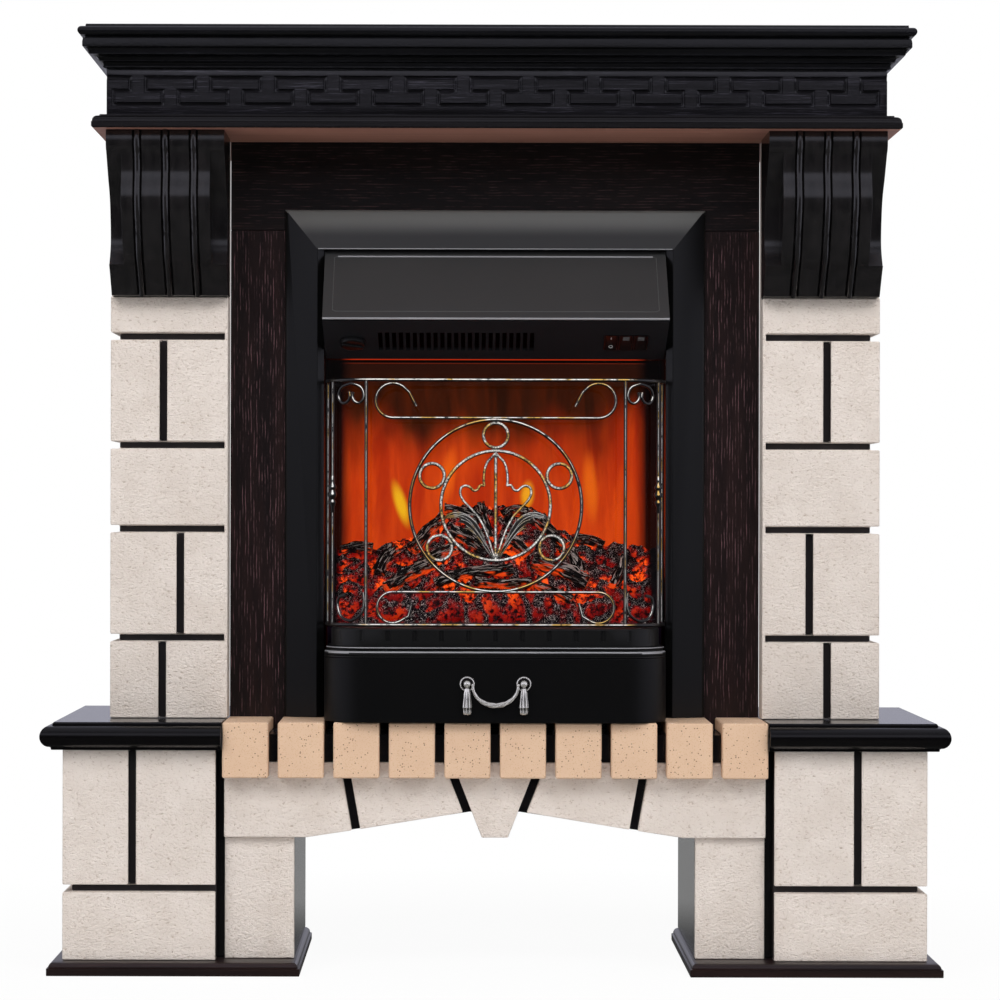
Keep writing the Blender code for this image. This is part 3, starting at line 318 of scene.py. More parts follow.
def softened(name, node, width, segments=3, edge_slot=-1, angle=40):
    """Clean copy of a CAD node with its sharp edges rounded to a width, and shaded evenly over them."""
    piece = bpy.data.objects.new(name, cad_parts[node].data.copy())
    piece.data.name = name
    piece.data.materials.clear()
    bpy.context.scene.collection.objects.link(piece)
    activate(piece)
    bpy.ops.mesh.customdata_custom_splitnormals_clear()
    open_mesh()
    bpy.ops.mesh.remove_doubles(threshold=0.00001)
    bpy.ops.mesh.dissolve_limited(angle_limit=math.radians(1.0))
    bpy.ops.object.mode_set(mode="OBJECT")
    bevelled(piece, width, segments, edge_slot)
    smooth(angle)
    even = piece.modifiers.new("even", "WEIGHTED_NORMAL")
    even.keep_sharp = True
    bpy.ops.object.modifier_apply(modifier="even")
    return piece


ebony = lacquered("ebony_lacquer", "0B0A0B", "141214", "2A2629", level_grain, 0.19, 0.3)
for node in ("leg_case_left", "leg_case_right", "arch_board", "hearth_board"):
    board = softened(node + "_panel", node, 0.0004, 1)
    dress(board, ebony)
    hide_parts(node)
    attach(board, "suite")


# Stone facings: cast gypsum stone in slabs, a warm off-white, rubbed with a damp sponge while it set, which leaves
# short slanted marks, small pits and faint stains. The slabs are cut from each facing, their edges worn round, and
# the joints between them painted black.
stone, tree, place = material("cast_stone")
slant = add(tree, "Mapping", {"Vector": place, "Rotation": (0.35, 0.62, 0.3), "Scale": (270.0, 260.0, 430.0)})
marks = mottle(tree, slant, 1.0, 4.0, 0.6, 0.6)
waves = mottle(tree, place, 24.0, 3.0)
grit = mottle(tree, place, 1500.0, 1.0)
clean = blend(tree, remap(tree, waves, 0.35, 0.7), "EADFD7", "E1D5CC")
skin = blend(tree, remap(tree, marks, 0.30, 0.42), "C2B1A4", clean)
sand = fill(tree, bump(tree, grit, 0.5, 0.0007), {"Normal": bump(tree, marks, 1.0, 0.0027)})
shade(tree, {"Base Color": skin, "Normal": sand, "Roughness": 0.88, "Specular IOR Level": 0.3})


def plain_paint(name, one, other, size, detail, gloss, specular=0.5):
    """Paint or ink in two close tones, clouded by a fine noise."""
    made, tree, place = material(name)
    skin = blend(tree, mottle(tree, place, size, detail), one, other)
    shade(tree, {"Base Color": skin, "Roughness": gloss, "Specular IOR Level": specular})
    return made


joint_paint = plain_paint("joint_paint", "121010", "231C1C", 160.0, 3.0, 0.62)
joint_depth = 0.010
for side, tag in ((-1, "left"), (1, "right")):
    for node in ("pilaster_" + tag, "pedestal_stone_" + tag):
        low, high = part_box(node)
        outer = max(side * low.x, side * high.x)
        facing = softened(node + "_slabs", node, 0.0016)
        dress(facing, stone, joint_paint)
        for face in facing.data.polygons:
            inward = (face.center.y - low.y) / joint_depth
            from_side = (outer - side * face.center.x) / joint_depth
            front_joint = 0.45 < inward < 1.5 and abs(face.normal.z) <= 0.5
            side_joint = from_side < 1.4 and abs(face.normal.x) > 0.7
            face.material_index = int(from_side >= 0.45 and (front_joint or side_joint))
        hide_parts(node)
        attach(facing, "suite")
for node in ("leg_stone_left", "leg_stone_right", "apron_left", "voussoir_left", "keystone", "voussoir_right",
             "apron_right"):
    slab = softened(node + "_slab", node, 0.0013)
    dress(slab, stone)
    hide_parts(node)
    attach(slab, "suite")


# Hearth shelves: lacquered boards with a bullnose between two small steps, mitred at their outer corners.
# The flat top mirrors the white room, and the nose stays black with one soft line of light.
piano_black = lacquered("piano_black_lacquer", "040304", "080707", "121011", level_grain, 0.20, 0.3, 0.3)
for side, ends in (("left", (1, 0)), ("right", (0, 1))):
    low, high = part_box("hearth_shelf_" + side)
    rise = high.z - low.z
    profile = [(0.0125, 0.0), (0.0118, 0.0010), (0.0118, 0.0026), (0.0108, 0.0032)]
    profile += [(0.0110 - x, 0.0157 + z * 1.12) for x, z in arc((0.0, 0.0), 0.0110, -88, 86, 20)]
    profile += [(0.0112, rise - 0.0052), (0.0134, rise - 0.0048), (0.0136, rise - 0.0016), (0.0150, rise)]
    shelf = moulded("shelf_board_" + side, "hearth_shelf_" + side, profile, ends)
    dress(shelf, piano_black)
    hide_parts("hearth_shelf_" + side)
    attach(shelf, "suite")


# Ten hearth bricks: pressed terrazzo of pale clay with crushed stone, hooked over the hearth's front edge.
# Each is sawn with crisp edges; brown, orange and white chips of 0.5 to 3 mm show in its faces.
terrazzo, tree, place = material("pressed_terrazzo")
skin = blend(tree, mottle(tree, place, 35.0, 4.0), "DABB9F", "D0AE93")
for size, rare, width, hue in ((640.0, 0.55, 0.26, "C69E7C"), (420.0, 0.72, 0.26, "EBDFD0"),
                               (330.0, 0.82, 0.24, "8A6A52"), (300.0, 0.78, 0.25, "54402F"),
                               (210.0, 0.84, 0.20, "2B211B")):
    chips = add(tree, "TexVoronoi", {"Vector": place, "Scale": size, "Randomness": 1.0})
    pick = maths(tree, "GREATER_THAN", chips.outputs["Color"], rare)
    inside = maths(tree, "LESS_THAN", chips.outputs["Distance"], width)
    skin = blend(tree, product(tree, pick, inside), skin, hue)
rough = bump(tree, mottle(tree, place, 900.0, 2.0), 0.25, 0.0003)
shade(tree, {"Base Color": skin, "Normal": rough, "Roughness": 0.72, "Specular IOR Level": 0.35})
for number in range(1, 11):
    node = f"hearth_brick_{number}"
    brick = softened(node + "_block", node, 0.0005, 2)
    dress(brick, terrazzo)
    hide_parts(node)
    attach(brick, "suite")


# Fascia rail and stiles: veneered boards stained wenge, a dark wine brown, the grain running along each.
# Open pores take up pale filler, so the grain shows as fine pinkish threads under a dull film.
def wenge(name, deep, light, thread, run, across):
    """Straight-grained veneer: dark bands, and pale broken pore lines about 4 mm apart along the grain."""
    made, tree, place = material(name)
    bands = mottle(tree, place, tuple(60.0 * share for share in run), 3.0)
    dots = mottle(tree, place, tuple(420.0 * share for share in run), 3.0, 0.7)
    lines = add(tree, "TexWave", {"Vector": place, "Scale": 95.0, "Distortion": 3.5, "Detail": 2.0,
                                  "Detail Scale": 0.25}, bands_direction=across)
    pore = product(tree, remap(tree, lines, 0.74, 1.0), remap(tree, dots, 0.50, 0.64))
    body = blend(tree, remap(tree, bands, 0.35, 0.65), deep, light)
    shade(tree, {"Base Color": blend(tree, pore, body, thread), "Normal": bump(tree, lines, 0.15, 0.0003),
                 "Roughness": 0.5, "Specular IOR Level": 0.3})
    return made


wenge_rail = wenge("wenge_veneer_level", "0A0605", "140B09", "46302F", (0.09, 1.0, 1.0), "Z")
wenge_stile = wenge("wenge_veneer_upright", "100706", "1E0F0D", "66484C", (1.0, 1.0, 0.09), "X")
for node, finish in (("fascia_rail", wenge_rail), ("fascia_stile_left", wenge_stile),
                     ("fascia_stile_right", wenge_stile)):
    board = softened(node + "_board", node, 0.0005, 2)
    dress(board, finish)
    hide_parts(node)
    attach(board, "suite")


# Corbels: carved brackets in black satin lacquer, with three beads running down the front in deep quirks.
# The flanks of the front are sunk in an ogee, and each bead lies in a wide round groove that follows the scroll.
def flow(points, steps):
    """Points of a smooth curve through points."""
    ends = [points[0], *points, points[-1]]
    made = []
    for a, b, c, d in zip(ends, ends[1:], ends[2:], ends[3:]):
        for step in range(steps):
            t = step / steps
            made.append(tuple(0.5 * (2 * q + (r - p) * t + (2 * p - 5 * q + 4 * r - s) * t * t
                                     + (3 * q - p - 3 * r + s) * t ** 3) for p, q, r, s in zip(a, b, c, d)))
    made.append(tuple(points[-1]))
    return made


def tube(name, runs, radius, sides=4, closed=False):
    """Round wire along each run of points, as a bevelled curve made a mesh."""
    curve = bpy.data.curves.new(name, "CURVE")
    curve.dimensions = "3D"
    curve.bevel_depth = radius
    curve.bevel_resolution = sides
    curve.use_fill_caps = True
    for run in runs:
        spline = curve.splines.new("POLY")
        spline.points.add(len(run) - 1)
        for point, spot in zip(spline.points, run):
            point.co = (*spot, 1.0)
        spline.use_cyclic_u = closed
    piece = bpy.data.objects.new(name, curve)
    bpy.context.scene.collection.objects.link(piece)
    activate(piece)
    bpy.ops.object.convert(target="MESH")
    open_mesh()
    bpy.ops.mesh.remove_doubles(threshold=0.000005)
    close_mesh()
    smooth(50)
    return bpy.context.object


def cut_away(piece, tool):
    """Cut a tool out of a piece, and remove the tool."""
    activate(piece)
    step = piece.modifiers.new("cut", "BOOLEAN")
    step.operation = "DIFFERENCE"
    step.object = tool
    step.use_self = True
    bpy.ops.object.modifier_apply(modifier="cut")
    bpy.data.objects.remove(tool, do_unlink=True)
    bpy.ops.mesh.customdata_custom_splitnormals_clear()
    smooth(30)


def weld(pieces):
    """Join pieces into the first of them."""
    activate(pieces[0])
    for piece in pieces[1:]:
        piece.select_set(True)
    bpy.ops.object.join()
    return pieces[0]


def drawn_line(name, corners):
    """Line drawn from corner to corner, left in edit mode with all of it selected."""
    piece = begin(name, bpy.ops.mesh.primitive_plane_add, size=0.001)
    open_mesh()
    bpy.ops.mesh.merge(type="CENTER")
    here = Vector(corners[0])
    bpy.ops.transform.translate(value=here)
    for corner in corners[1:]:
        there = Vector(corner)
        bpy.ops.mesh.extrude_vertices_move(TRANSFORM_OT_translate={"value": there - here})
        here = there
    bpy.ops.mesh.select_all(action="SELECT")
    return piece


def plate(name, outline, thickness):
    """Flat plate: its outline is drawn, filled, and extruded by a vector."""
    piece = drawn_line(name, outline)
    bpy.ops.mesh.edge_face_add()
    bpy.ops.mesh.extrude_region_move(TRANSFORM_OT_translate={"value": thickness})
    close_mesh()
    return piece


satin_black = lacquered("satin_black_lacquer", "121112", "1C1A1B", "2E2A2C", (1.0, 1.0, 0.04), 0.20, 0.4)
scroll = [(-0.1500, 0.9478), (-0.1460, 0.9267), (-0.1510, 0.8937), (-0.1399, 0.8637), (-0.1259, 0.8348),
          (-0.1078, 0.8147), (-0.0947, 0.7997), (-0.0846, 0.7878)]
hollow = [(-0.1500, 0.9497), (-0.1279, 0.9217), (-0.1088, 0.8997), (-0.0987, 0.8697), (-0.0977, 0.8447),
          (-0.1118, 0.8217)]
before_front = -0.170
sunk_view = [*flow(hollow, 8), (before_front, hollow[-1][1]), (before_front, hollow[0][1])]
strip, overlap = 0.017, 0.002
quirk, bead, bead_spacing, bead_depth = 0.0054, 0.0033, 0.0325, 0.0014
for tag in ("left", "right"):
    node = "corbel_" + tag
    low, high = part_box(node)
    middle = (low.x + high.x) / 2
    rounded_head = [(low.y + 0.0024, high.z), (low.y + 0.0012, 0.9700), (low.y + 0.0004, 0.9660),
                    (low.y, 0.9615), (low.y + 0.0004, 0.9565), (-0.1530, 0.9517)]
    front_line = [*rounded_head, *flow(scroll, 8)]
    side_view = [(high.y, low.z), (high.y, high.z), *front_line]
    corbel = plate("carved_corbel_" + tag, [(low.x, y, z) for y, z in side_view], (high.x - low.x, 0.0, 0.0))
    for start in (low.x - overlap, high.x - strip):
        cut_away(corbel, plate("strip", [(start, y, z) for y, z in sunk_view], (strip + overlap, 0.0, 0.0)))
    bevelled(corbel, 0.0012, 2)
    beads = []
    for across in (-bead_spacing, 0.0, bead_spacing):
        cut_away(corbel, tube("quirk", [[(middle + across, y, z) for y, z in front_line]], quirk, 3))
        beads.append(tube("bead", [[(middle + across, y + bead_depth, z) for y, z in front_line]], bead))
    corbel = weld([corbel, *beads])
    smooth(30)
    dress(corbel, satin_black)
    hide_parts(node)
    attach(corbel, "suite")


# Mantel ledge: a thin lacquered board with a thumb edge, under the frieze.
# Its front edge catches a grey sheen; its underside is only sealed, and shows the reddish wood.
low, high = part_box("mantel_ledge")
rise = high.z - low.z
profile = [(0.0016, 0.0), (0.0, 0.0016), (0.0, rise - 0.0095), (0.0009, rise - 0.0085)]
profile += [(0.0072 - x, z) for x, z in arc((0.0, rise - 0.0080), 0.0062, 8, 84, 8)]
profile += [(0.0086, rise - 0.0014), (0.0090, rise)]
ledge = moulded("mantel_ledge_board", "mantel_ledge", profile)
dress(ledge, lacquered("ledge_lacquer", "0B0A0B", "121012", "28252C", level_grain, 0.24, 0.3, 0.3),
      lacquered("sealed_beech", "9C6C5C", "AC7968", "C08D7C", (0.02, 1.0, 1.0), 0.6, 0.6))
for face in ledge.data.polygons:
    face.material_index = int(face.normal.z < -0.9)
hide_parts("mantel_ledge")
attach(ledge, "suite")


# Frieze: a veneered box in black stain, with a running key pattern routed into its face by a round-nosed cutter.
# The cutter's path starts on the top line at the left end: out, down, back, down, out, up, back, up.
low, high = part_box("frieze_box")
top_line, mid_line, foot_line = high.z - 0.0085, high.z - 0.0237, high.z - 0.0392
bar, back = 0.0565, 0.01917
period = 2 * (bar - back)
first, past_end, cutter = 0.027, 0.004, 0.0036
key = ((0.0, top_line), (0.0, mid_line), (-back, mid_line), (-back, foot_line), (bar - back, foot_line),
       (bar - back, mid_line), (bar - 2 * back, mid_line), (bar - 2 * back, top_line))
path = [(low.x - past_end, top_line)]
for number in range(round((high.x - low.x) / period)):
    path += [(low.x + first + number * period + x, z) for x, z in key]
path.append((high.x + past_end, top_line))
frieze = softened("frieze_face", "frieze_box", 0.0006, 2)
cut_away(frieze, tube("router", [[(x, low.y - 0.0004, z) for x, z in path]], cutter, 3))
dress(frieze, lacquered("frieze_veneer", "0A090B", "141317", "3A3842", level_grain, 0.24, 1.0))
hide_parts("frieze_box")
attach(frieze, "suite")


# Mantel top: a thick lacquered shelf, its edge built up of three fillets in a cove, a flat band, a quirk and a
# rounded nose. It was sprayed thickly, which leaves a fine orange peel that breaks up the sheen.
low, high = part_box("mantel_top")
rise = high.z - low.z
profile = [(0.0303, 0.0), (0.0303, 0.0010), (0.0278, 0.0014), (0.0266, 0.0024), (0.0266, 0.0038), (0.0274, 0.0046)]
profile += [(0.0236 + x, 0.0050 + z) for x, z in arc((0.0, 0.0), 0.0036, 0, 80, 5)]
profile += [(0.0228, 0.0090), (0.0228, 0.0098)]
profile += [(0.0130 + x * 1.7, 0.0100 + z) for x, z in arc((0.0, 0.0), 0.0053, 0, 84, 6)]
profile += [(0.0122, 0.0156), (0.0122, 0.0163)]
profile += [(0.0072 + x * 0.85, 0.0166 + z * 1.2) for x, z in arc((0.0, 0.0), 0.0052, 0, 84, 6)]
profile += [(0.0056, 0.0232), (0.0050, 0.0240), (0.0050, 0.0290), (0.0057, 0.0328), (0.0078, 0.0336),
            (0.0082, 0.0352), (0.0058, 0.0360), (0.0034, 0.0364)]
profile += [(0.0050 - x, rise - 0.0082 + z) for x, z in arc((0.0, 0.0), 0.0050, -66, 84, 12)]
profile += [(0.0074, rise - 0.0030), (0.0084, rise - 0.0026), (0.0088, rise)]
mantel = moulded("mantel_shelf", "mantel_top", profile)
peel = lacquered("orange_peel_lacquer", "0A0A0B", "101013", "24242A", (0.05, 1.0, 1.0), 0.24, 0.35, 0.3)
tree = peel.node_tree
skin = mottle(tree, add(tree, "TexCoord").outputs["Object"], 380.0, 2.0)
shade(tree, {"Normal": bump(tree, skin, 0.5, 0.0006)})
dress(mantel, peel)
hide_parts("mantel_top")
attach(mantel, "suite")


# Inset case and its frame: folded steel sheet under a black powder coat; the frame is mitred with a raised crest.
# Powder coat is matt with a very fine grain. A thin painted highlight in pale grey runs along the frame's sharp edges
# and its crest. The crest dips in front of the hood, and the top bar's upward faces are painted lighter grey towards
# its upper edge, a painted highlight of the light from above.
def powder_coat(name, body, light, gloss, grain, specular=0.5, highlight_heights=None):
    """Powder coat on steel: a fine pebble, and two tones in faint clouds, or, as a painted highlight, from one height
    to another.
    """
    made, tree, place = material(name)
    if highlight_heights:
        up = add(tree, "SeparateXYZ", {0: place}).outputs["Z"]
        tone = remap(tree, up, *highlight_heights, interpolation_type="SMOOTHSTEP")
    else:
        tone = mottle(tree, place, 14.0, 4.0)
    pebble = mottle(tree, place, 1400.0, 1.0)
    shade(tree, {"Base Color": blend(tree, tone, body, light), "Normal": bump(tree, pebble, grain, 0.0002),
                 "Roughness": gloss, "Specular IOR Level": specular})
    return made


coat = powder_coat("black_powder_coat", "050505", "080808", 0.36, 0.12, 0.35)
# A pale grey that stands for light: the painted highlight on edges, crest lines and bead crowns.
painted_highlight_grey = powder_coat("painted_highlight_grey_coat", "76767A", "96969A", 0.3, 0.1)
top_bar_painted_highlight = powder_coat("top_bar_painted_highlight_coat", "252525", "5E5E5D", 0.42, 0.12, highlight_heights=(0.860, 0.884))
case_coat = powder_coat("case_powder_coat", "060606", "090909", 0.42, 0.12, 0.15)
# The frame's bevels take the painted highlight grey in slot 1; the top bar's upward faces take the painted highlight of
# slot 2.
trim = softened("mitred_frame", "insert_frame", 0.0008, 3, edge_slot=1, angle=20)
for finish in (coat, painted_highlight_grey, top_bar_painted_highlight):  # the bevel's own faces are in slot 1 already
    trim.data.materials.append(finish)
opening_head, crest_low, crest_high, crest_back, crest_dip = 0.84, 0.8500, 0.8570, -0.040, 0.0085
for face in trim.data.polygons:
    sloping = face.normal.y < -0.3 and face.normal.z > 0.15
    if face.material_index == 0 and face.center.z > opening_head and sloping:
        face.material_index = 2
for vertex in trim.data.vertices:
    if crest_low < vertex.co.z < crest_high and vertex.co.y < crest_back:
        vertex.co.z -= crest_dip
# A thin tube along the crest, coloured as a painted highlight.
crest_line = tube("crest_painted_highlight", [[(x, -0.0449, 0.8460) for x in (-0.2092, 0.2092)]], 0.0007, 2)
dress(crest_line, painted_highlight_grey)
trim = weld([trim, crest_line])
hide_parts("insert_frame")
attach(trim, "suite")
dress(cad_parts["insert_case"], case_coat)


# Window: a pane of toughened glass in front of the fire, clear with a slight smoke tint.
# It stands in the case on its edges, which are taped black, and mirrors the guard in front of it.
pane = softened("window_pane", "window_glass", 0.0003, 1)
smoked, tree, place = material("toughened_glass")
tint = blend(tree, mottle(tree, place, 9.0, 2.0), "F6F1EC", "EDE8E2")
shade(tree, {"Base Color": tint, "Roughness": 0.0, "IOR": 1.5, "Transmission Weight": 1.0})
dress(pane, smoked, case_coat)
for face in pane.data.polygons:
    face.material_index = int(abs(face.normal.y) < 0.5)
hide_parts("window_glass")
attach(pane, "suite")


# Fuel bed: a vacuum-formed mould of coals and ash, painted black and translucent, lit red from below.
# Its ridges are dry-brushed with ash grey, and the thin hollows between the coals let the glow through. The light
# fades towards the front edge and stops short of the case's sides.
coal_foot = 0.404


def ridge(x):
    """Height of the heaped fuel's skyline at a distance from the middle."""
    line = [(0.0, 0.541), (0.045, 0.541), (0.062, 0.531), (0.077, 0.516), (0.100, 0.506), (0.143, 0.495), (0.21, 0.491)]
    rough = 0.004 * noise.noise(Vector((x * 55.0, 0.0, 2.0))) + 0.003 * noise.noise(Vector((x * 140.0, 0.0, 5.0)))
    x = abs(x)
    for (near, above), (far, below) in zip(line, line[1:]):
        if x <= far:
            return above + (below - above) * (x - near) / (far - near) + rough
    return line[-1][1] + rough


def lumps(x, y):
    """Relief of the coals, from -1 in the hollows to 1 on the ridges."""
    coarse = noise.noise(Vector((x * 52.0, y * 80.0, 0.3)))
    middling = noise.noise(Vector((x * 120.0, y * 150.0, 4.1)))
    fine = noise.noise(Vector((x * 330.0, y * 330.0, 9.7)))
    return 0.55 - 2.2 * abs(coarse) + 0.5 * middling + 0.25 * fine


low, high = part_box("ember_bed")
bed_front, bed_depth = low.y, high.y - low.y
bed = begin("fuel_bed", bpy.ops.mesh.primitive_grid_add, (high.x - low.x, bed_depth, 1.0), x_subdivisions=230,
            y_subdivisions=110, size=1.0, location=((low.x + high.x) / 2, (low.y + high.y) / 2, coal_foot))
hollows = bed.data.attributes.new("hollow", "FLOAT", "POINT")
for vertex in bed.data.vertices:
    x, y = vertex.co.x, vertex.co.y
    share = max((y - bed_front) / bed_depth, 0.0)
    relief = lumps(x, y)
    lift = 0.0045 + 0.0045 * min(share * 3.0, 1.0)
    vertex.co.z = coal_foot + (ridge(x) - coal_foot) * share ** 0.80 + relief * lift * (1.0 - share * 0.3)
    hollows.data[vertex.index].value = relief
open_mesh()
bpy.ops.mesh.region_to_loop()
bpy.ops.mesh.extrude_region_move(TRANSFORM_OT_translate={"value": (0.0, 0.0, -0.01)})
bpy.ops.transform.resize(value=(1.0, 1.0, 0.0), center_override=(0.0, 0.0, low.z))
bpy.ops.mesh.edge_face_add()
close_mesh()
smooth(60)

coal, tree, place = material("glowing_coal_mould")
relief = add(tree, "Attribute", attribute_name="hollow").outputs["Fac"]
axes = add(tree, "SeparateXYZ", {0: place})
outward = maths(tree, "ABSOLUTE", axes.outputs["X"])
patches = mottle(tree, place, 26.0, 2.0)
ember = mottle(tree, place, 170.0, 4.0, 0.7)
ash = mottle(tree, place, 340.0, 3.0, 0.7, 2.0)
inside = remap(tree, outward, 0.190, 0.183)
deep = remap(tree, relief, 0.32, -0.12)
broken = remap(tree, ember, 0.43, 0.54)
low_down = remap(tree, axes.outputs["Z"], 0.405, 0.445, 0.45)
above = remap(tree, axes.outputs["Z"], 0.400, 0.406)
share = remap(tree, patches, 0.38, 0.58, 0.45, 1.3)
lit = product(tree, deep, broken, low_down, above, share, inside)
fire = blend(tree, remap(tree, lit, 0.45, 1.15), "CC1206", "FF5A10")
crest = remap(tree, relief, -0.25, 0.45)
dust = remap(tree, ash, 0.575, 0.60)
char = blend(tree, patches, "040203", "1C0A20")
skin = blend(tree, product(tree, crest, dust, inside), char, "F0ECF0")
shade(tree, {"Base Color": skin, "Emission Color": fire, "Emission Strength": lit, "Roughness": 0.8,
             "Specular IOR Level": 0.2, "Normal": bump(tree, ember, 0.8, 0.002)})
dress(bed, coal)
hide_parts("ember_bed")
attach(bed, "suite")


# Logs: cast resin billets on the coals, painted as charred wood with ash along the bark; their downward faces glow in
# patches with painted orange light, standing for the bed's glow below.
# Each is a bent bar with a rough bark; most lie across the heap, and a few lean down its slope. A row gives three
# (x, z) points and the radius, in millimetres, and the fuel bed's slope gives each point its depth.
billets = [
    ((-129, 443), (-98, 463), (-69, 474), 8.5), ((-71, 449), (-30, 463), (23, 467), 7.0),
    ((46, 477), (80, 466), (113, 451), 9.5), ((49, 449), (72, 441), (93, 430), 5.5),
    ((-139, 461), (-131, 478), (-119, 493), 8.5), ((91, 489), (99, 476), (105, 461), 8.0),
    ((-60, 530), (-80, 512), (-98, 488), 8.0), ((-60, 538), (-42, 536), (-16, 527), 7.5),
    ((10, 530), (26, 536), (44, 532), 7.5), ((49, 528), (68, 511), (86, 494), 8.0),
    ((-16, 548), (-11, 527), (-4, 503), 4.8), ((-52, 513), (-33, 503), (-14, 489), 9.0),
    ((12, 505), (27, 497), (40, 484), 7.5), ((-184, 489), (-165, 493), (-147, 491), 6.5),
    ((99, 503), (116, 502), (133, 495), 6.5), ((-94, 470), (-66, 484), (-44, 492), 7.0),
    ((142, 446), (152, 464), (157, 482), 7.0), ((-23, 452), (8, 449), (45, 452), 6.0)]


def nearest(spot, run):
    """Nearest point on a run, its share of the way along, and the run's direction there."""
    found = []
    for index, (one, two) in enumerate(zip(run, run[1:])):
        share = min(max((spot - one).dot(two - one) / (two - one).length_squared, 0.0), 1.0)
        foot = one.lerp(two, share)
        found.append(((spot - foot).length, index, foot, (index + share) / (len(run) - 1), (two - one).normalized()))
    return min(found, key=lambda row: row[0])[2:]


sticks = []
for number, (*bends, stout) in enumerate(billets):
    stout /= 1000
    run = []
    for x, z in flow([(x / 1000, z / 1000) for x, z in bends], 5):
        rise = min(max((z - coal_foot - 0.5 * stout) / (ridge(x) - coal_foot), 0.0), 1.0)
        y = bed_front + bed_depth * rise ** 1.25 - 0.4 * stout
        run.append(Vector((x, max(y, bed_front + stout + 0.0005), z)))
    stick = tube(f"billet_{number}", [run], stout)
    fine = stick.modifiers.new("fine", "SUBSURF")
    fine.subdivision_type = "SIMPLE"
    fine.levels = 2
    bpy.ops.object.modifier_apply(modifier="fine")
    fibre = stick.data.attributes.new("fibre", "FLOAT_VECTOR", "POINT")
    whole = (run[-1] - run[0]).length
    for vertex in stick.data.vertices:
        foot, share, way = nearest(vertex.co, run)
        off = vertex.co - foot
        across = way.cross(Vector((0.0, -1.0, 0.0))).normalized()
        a, b, length = off.dot(across) / stout, off.y / stout, share * whole
        bark = noise.noise(Vector((length * 45.0 + number * 7.0, a * 2.6, b * 2.6)))
        bark += 0.5 * noise.noise(Vector((length * 110.0 + number * 7.0, a * 6.0, b * 6.0)))
        fibre.data[vertex.index].vector = (length + number * 0.37, a * stout, b * stout)
        if off.length > stout * 0.3:
            vertex.co += off.normalized() * stout * (0.42 * bark - 0.10)
    sticks.append(stick)
logs = weld(sticks)
logs.name = "charred_logs"
charred, tree, place = material("charred_resin_bark")
along_fibre = add(tree, "Attribute", attribute_name="fibre").outputs["Vector"]
upward = add(tree, "SeparateXYZ", {0: add(tree, "NewGeometry").outputs["Normal"]}).outputs["Z"]
grain = mottle(tree, along_fibre, (85.0, 480.0, 480.0), 2.0, 0.6, 0.5)
grey = product(tree, remap(tree, grain, 0.545, 0.575), remap(tree, upward, -0.5, 0.6, 0.1))
# Painted underglow: the downward faces, in noise patches, emit orange as if lit by the bed below.
underglow_patches = remap(tree, mottle(tree, place, 60.0, 3.0), 0.46, 0.56)
painted_underglow = product(tree, remap(tree, upward, 0.10, -0.60), underglow_patches)
shade(tree, {"Base Color": blend(tree, grey, "030202", "DCD8D8"), "Emission Color": linear("F04A12"),
             "Emission Strength": painted_underglow, "Normal": bump(tree, grain, 0.9, 0.0012), "Roughness": 0.7,
             "Specular IOR Level": 0.2})
dress(logs, charred)
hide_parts("log_set")
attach(logs, "suite")


# Flame screen: a sheet of frosted acrylic behind the logs, on which the turning paddles throw the flame light.
# The glow is orange above the logs, with soft upright streaks and yellow tongues, and dies to brown at the top.
# Two thin red lines are painted on the screen just under the hood, a painted reflection of the fire in the case.
flames, tree, place = material("frosted_acrylic_flames")
axes = add(tree, "SeparateXYZ", {0: place})
height = axes.outputs["Z"]
outward = maths(tree, "ABSOLUTE", axes.outputs["X"])
wave = remap(tree, mottle(tree, place, (11.0, 1.0, 5.0), 3.0), 0.3, 0.7, -0.045, 0.045)
fade = remap(tree, maths(tree, "ADD", height, wave), 0.575, 0.665, interpolation_type="SMOOTHSTEP")
streak = remap(tree, mottle(tree, place, (42.0, 1.0, 7.0), 4.0, 0.6, 0.6), 0.36, 0.64)
colour = blend(tree, fade, blend(tree, streak, "BC2E07", "E24B0D"), blend(tree, streak, "2A0E01", "4E1A02"))
colour = blend(tree, remap(tree, height, 0.680, 0.706), colour, "2C1006")
colour = blend(tree, maths(tree, "GREATER_THAN", height, 0.7160), colour, "010000")
# Two painted reflection lines in red across the top of the screen.
for level, half, hue in ((0.7208, 0.0009, "B02A0C"), (0.7163, 0.0005, "6A200C")):
    colour = blend(tree, maths(tree, "COMPARE", height, level, half), colour, hue)
for x, z, lean, width, tall, hue in ((-0.113, 0.545, -0.30, 0.010, 0.036, "FFC21E"),
                                     (0.041, 0.556, 0.10, 0.011, 0.022, "FFB020"),
                                     (-0.055, 0.580, 0.15, 0.012, 0.045, "F5640F"),
                                     (0.118, 0.565, -0.08, 0.012, 0.055, "F26A0F")):
    placed = add(tree, "Mapping", {"Vector": place, "Location": (x, 0.078, z), "Rotation": (0.0, lean, 0.0),
                                   "Scale": (width, 10.0, tall)}, vector_type="TEXTURE")
    size = add(tree, "VectorMath", {0: placed}, operation="LENGTH").outputs["Value"]
    colour = blend(tree, remap(tree, size, 1.0, 0.25, interpolation_type="SMOOTHSTEP"), colour, hue)
shade(tree, {"Base Color": linear("140A06"), "Emission Color": colour, "Roughness": 0.6, "Specular IOR Level": 0.1,
             "Emission Strength": remap(tree, outward, 0.186, 0.172, 0.02)})
dress(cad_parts["flame_screen"], flames)


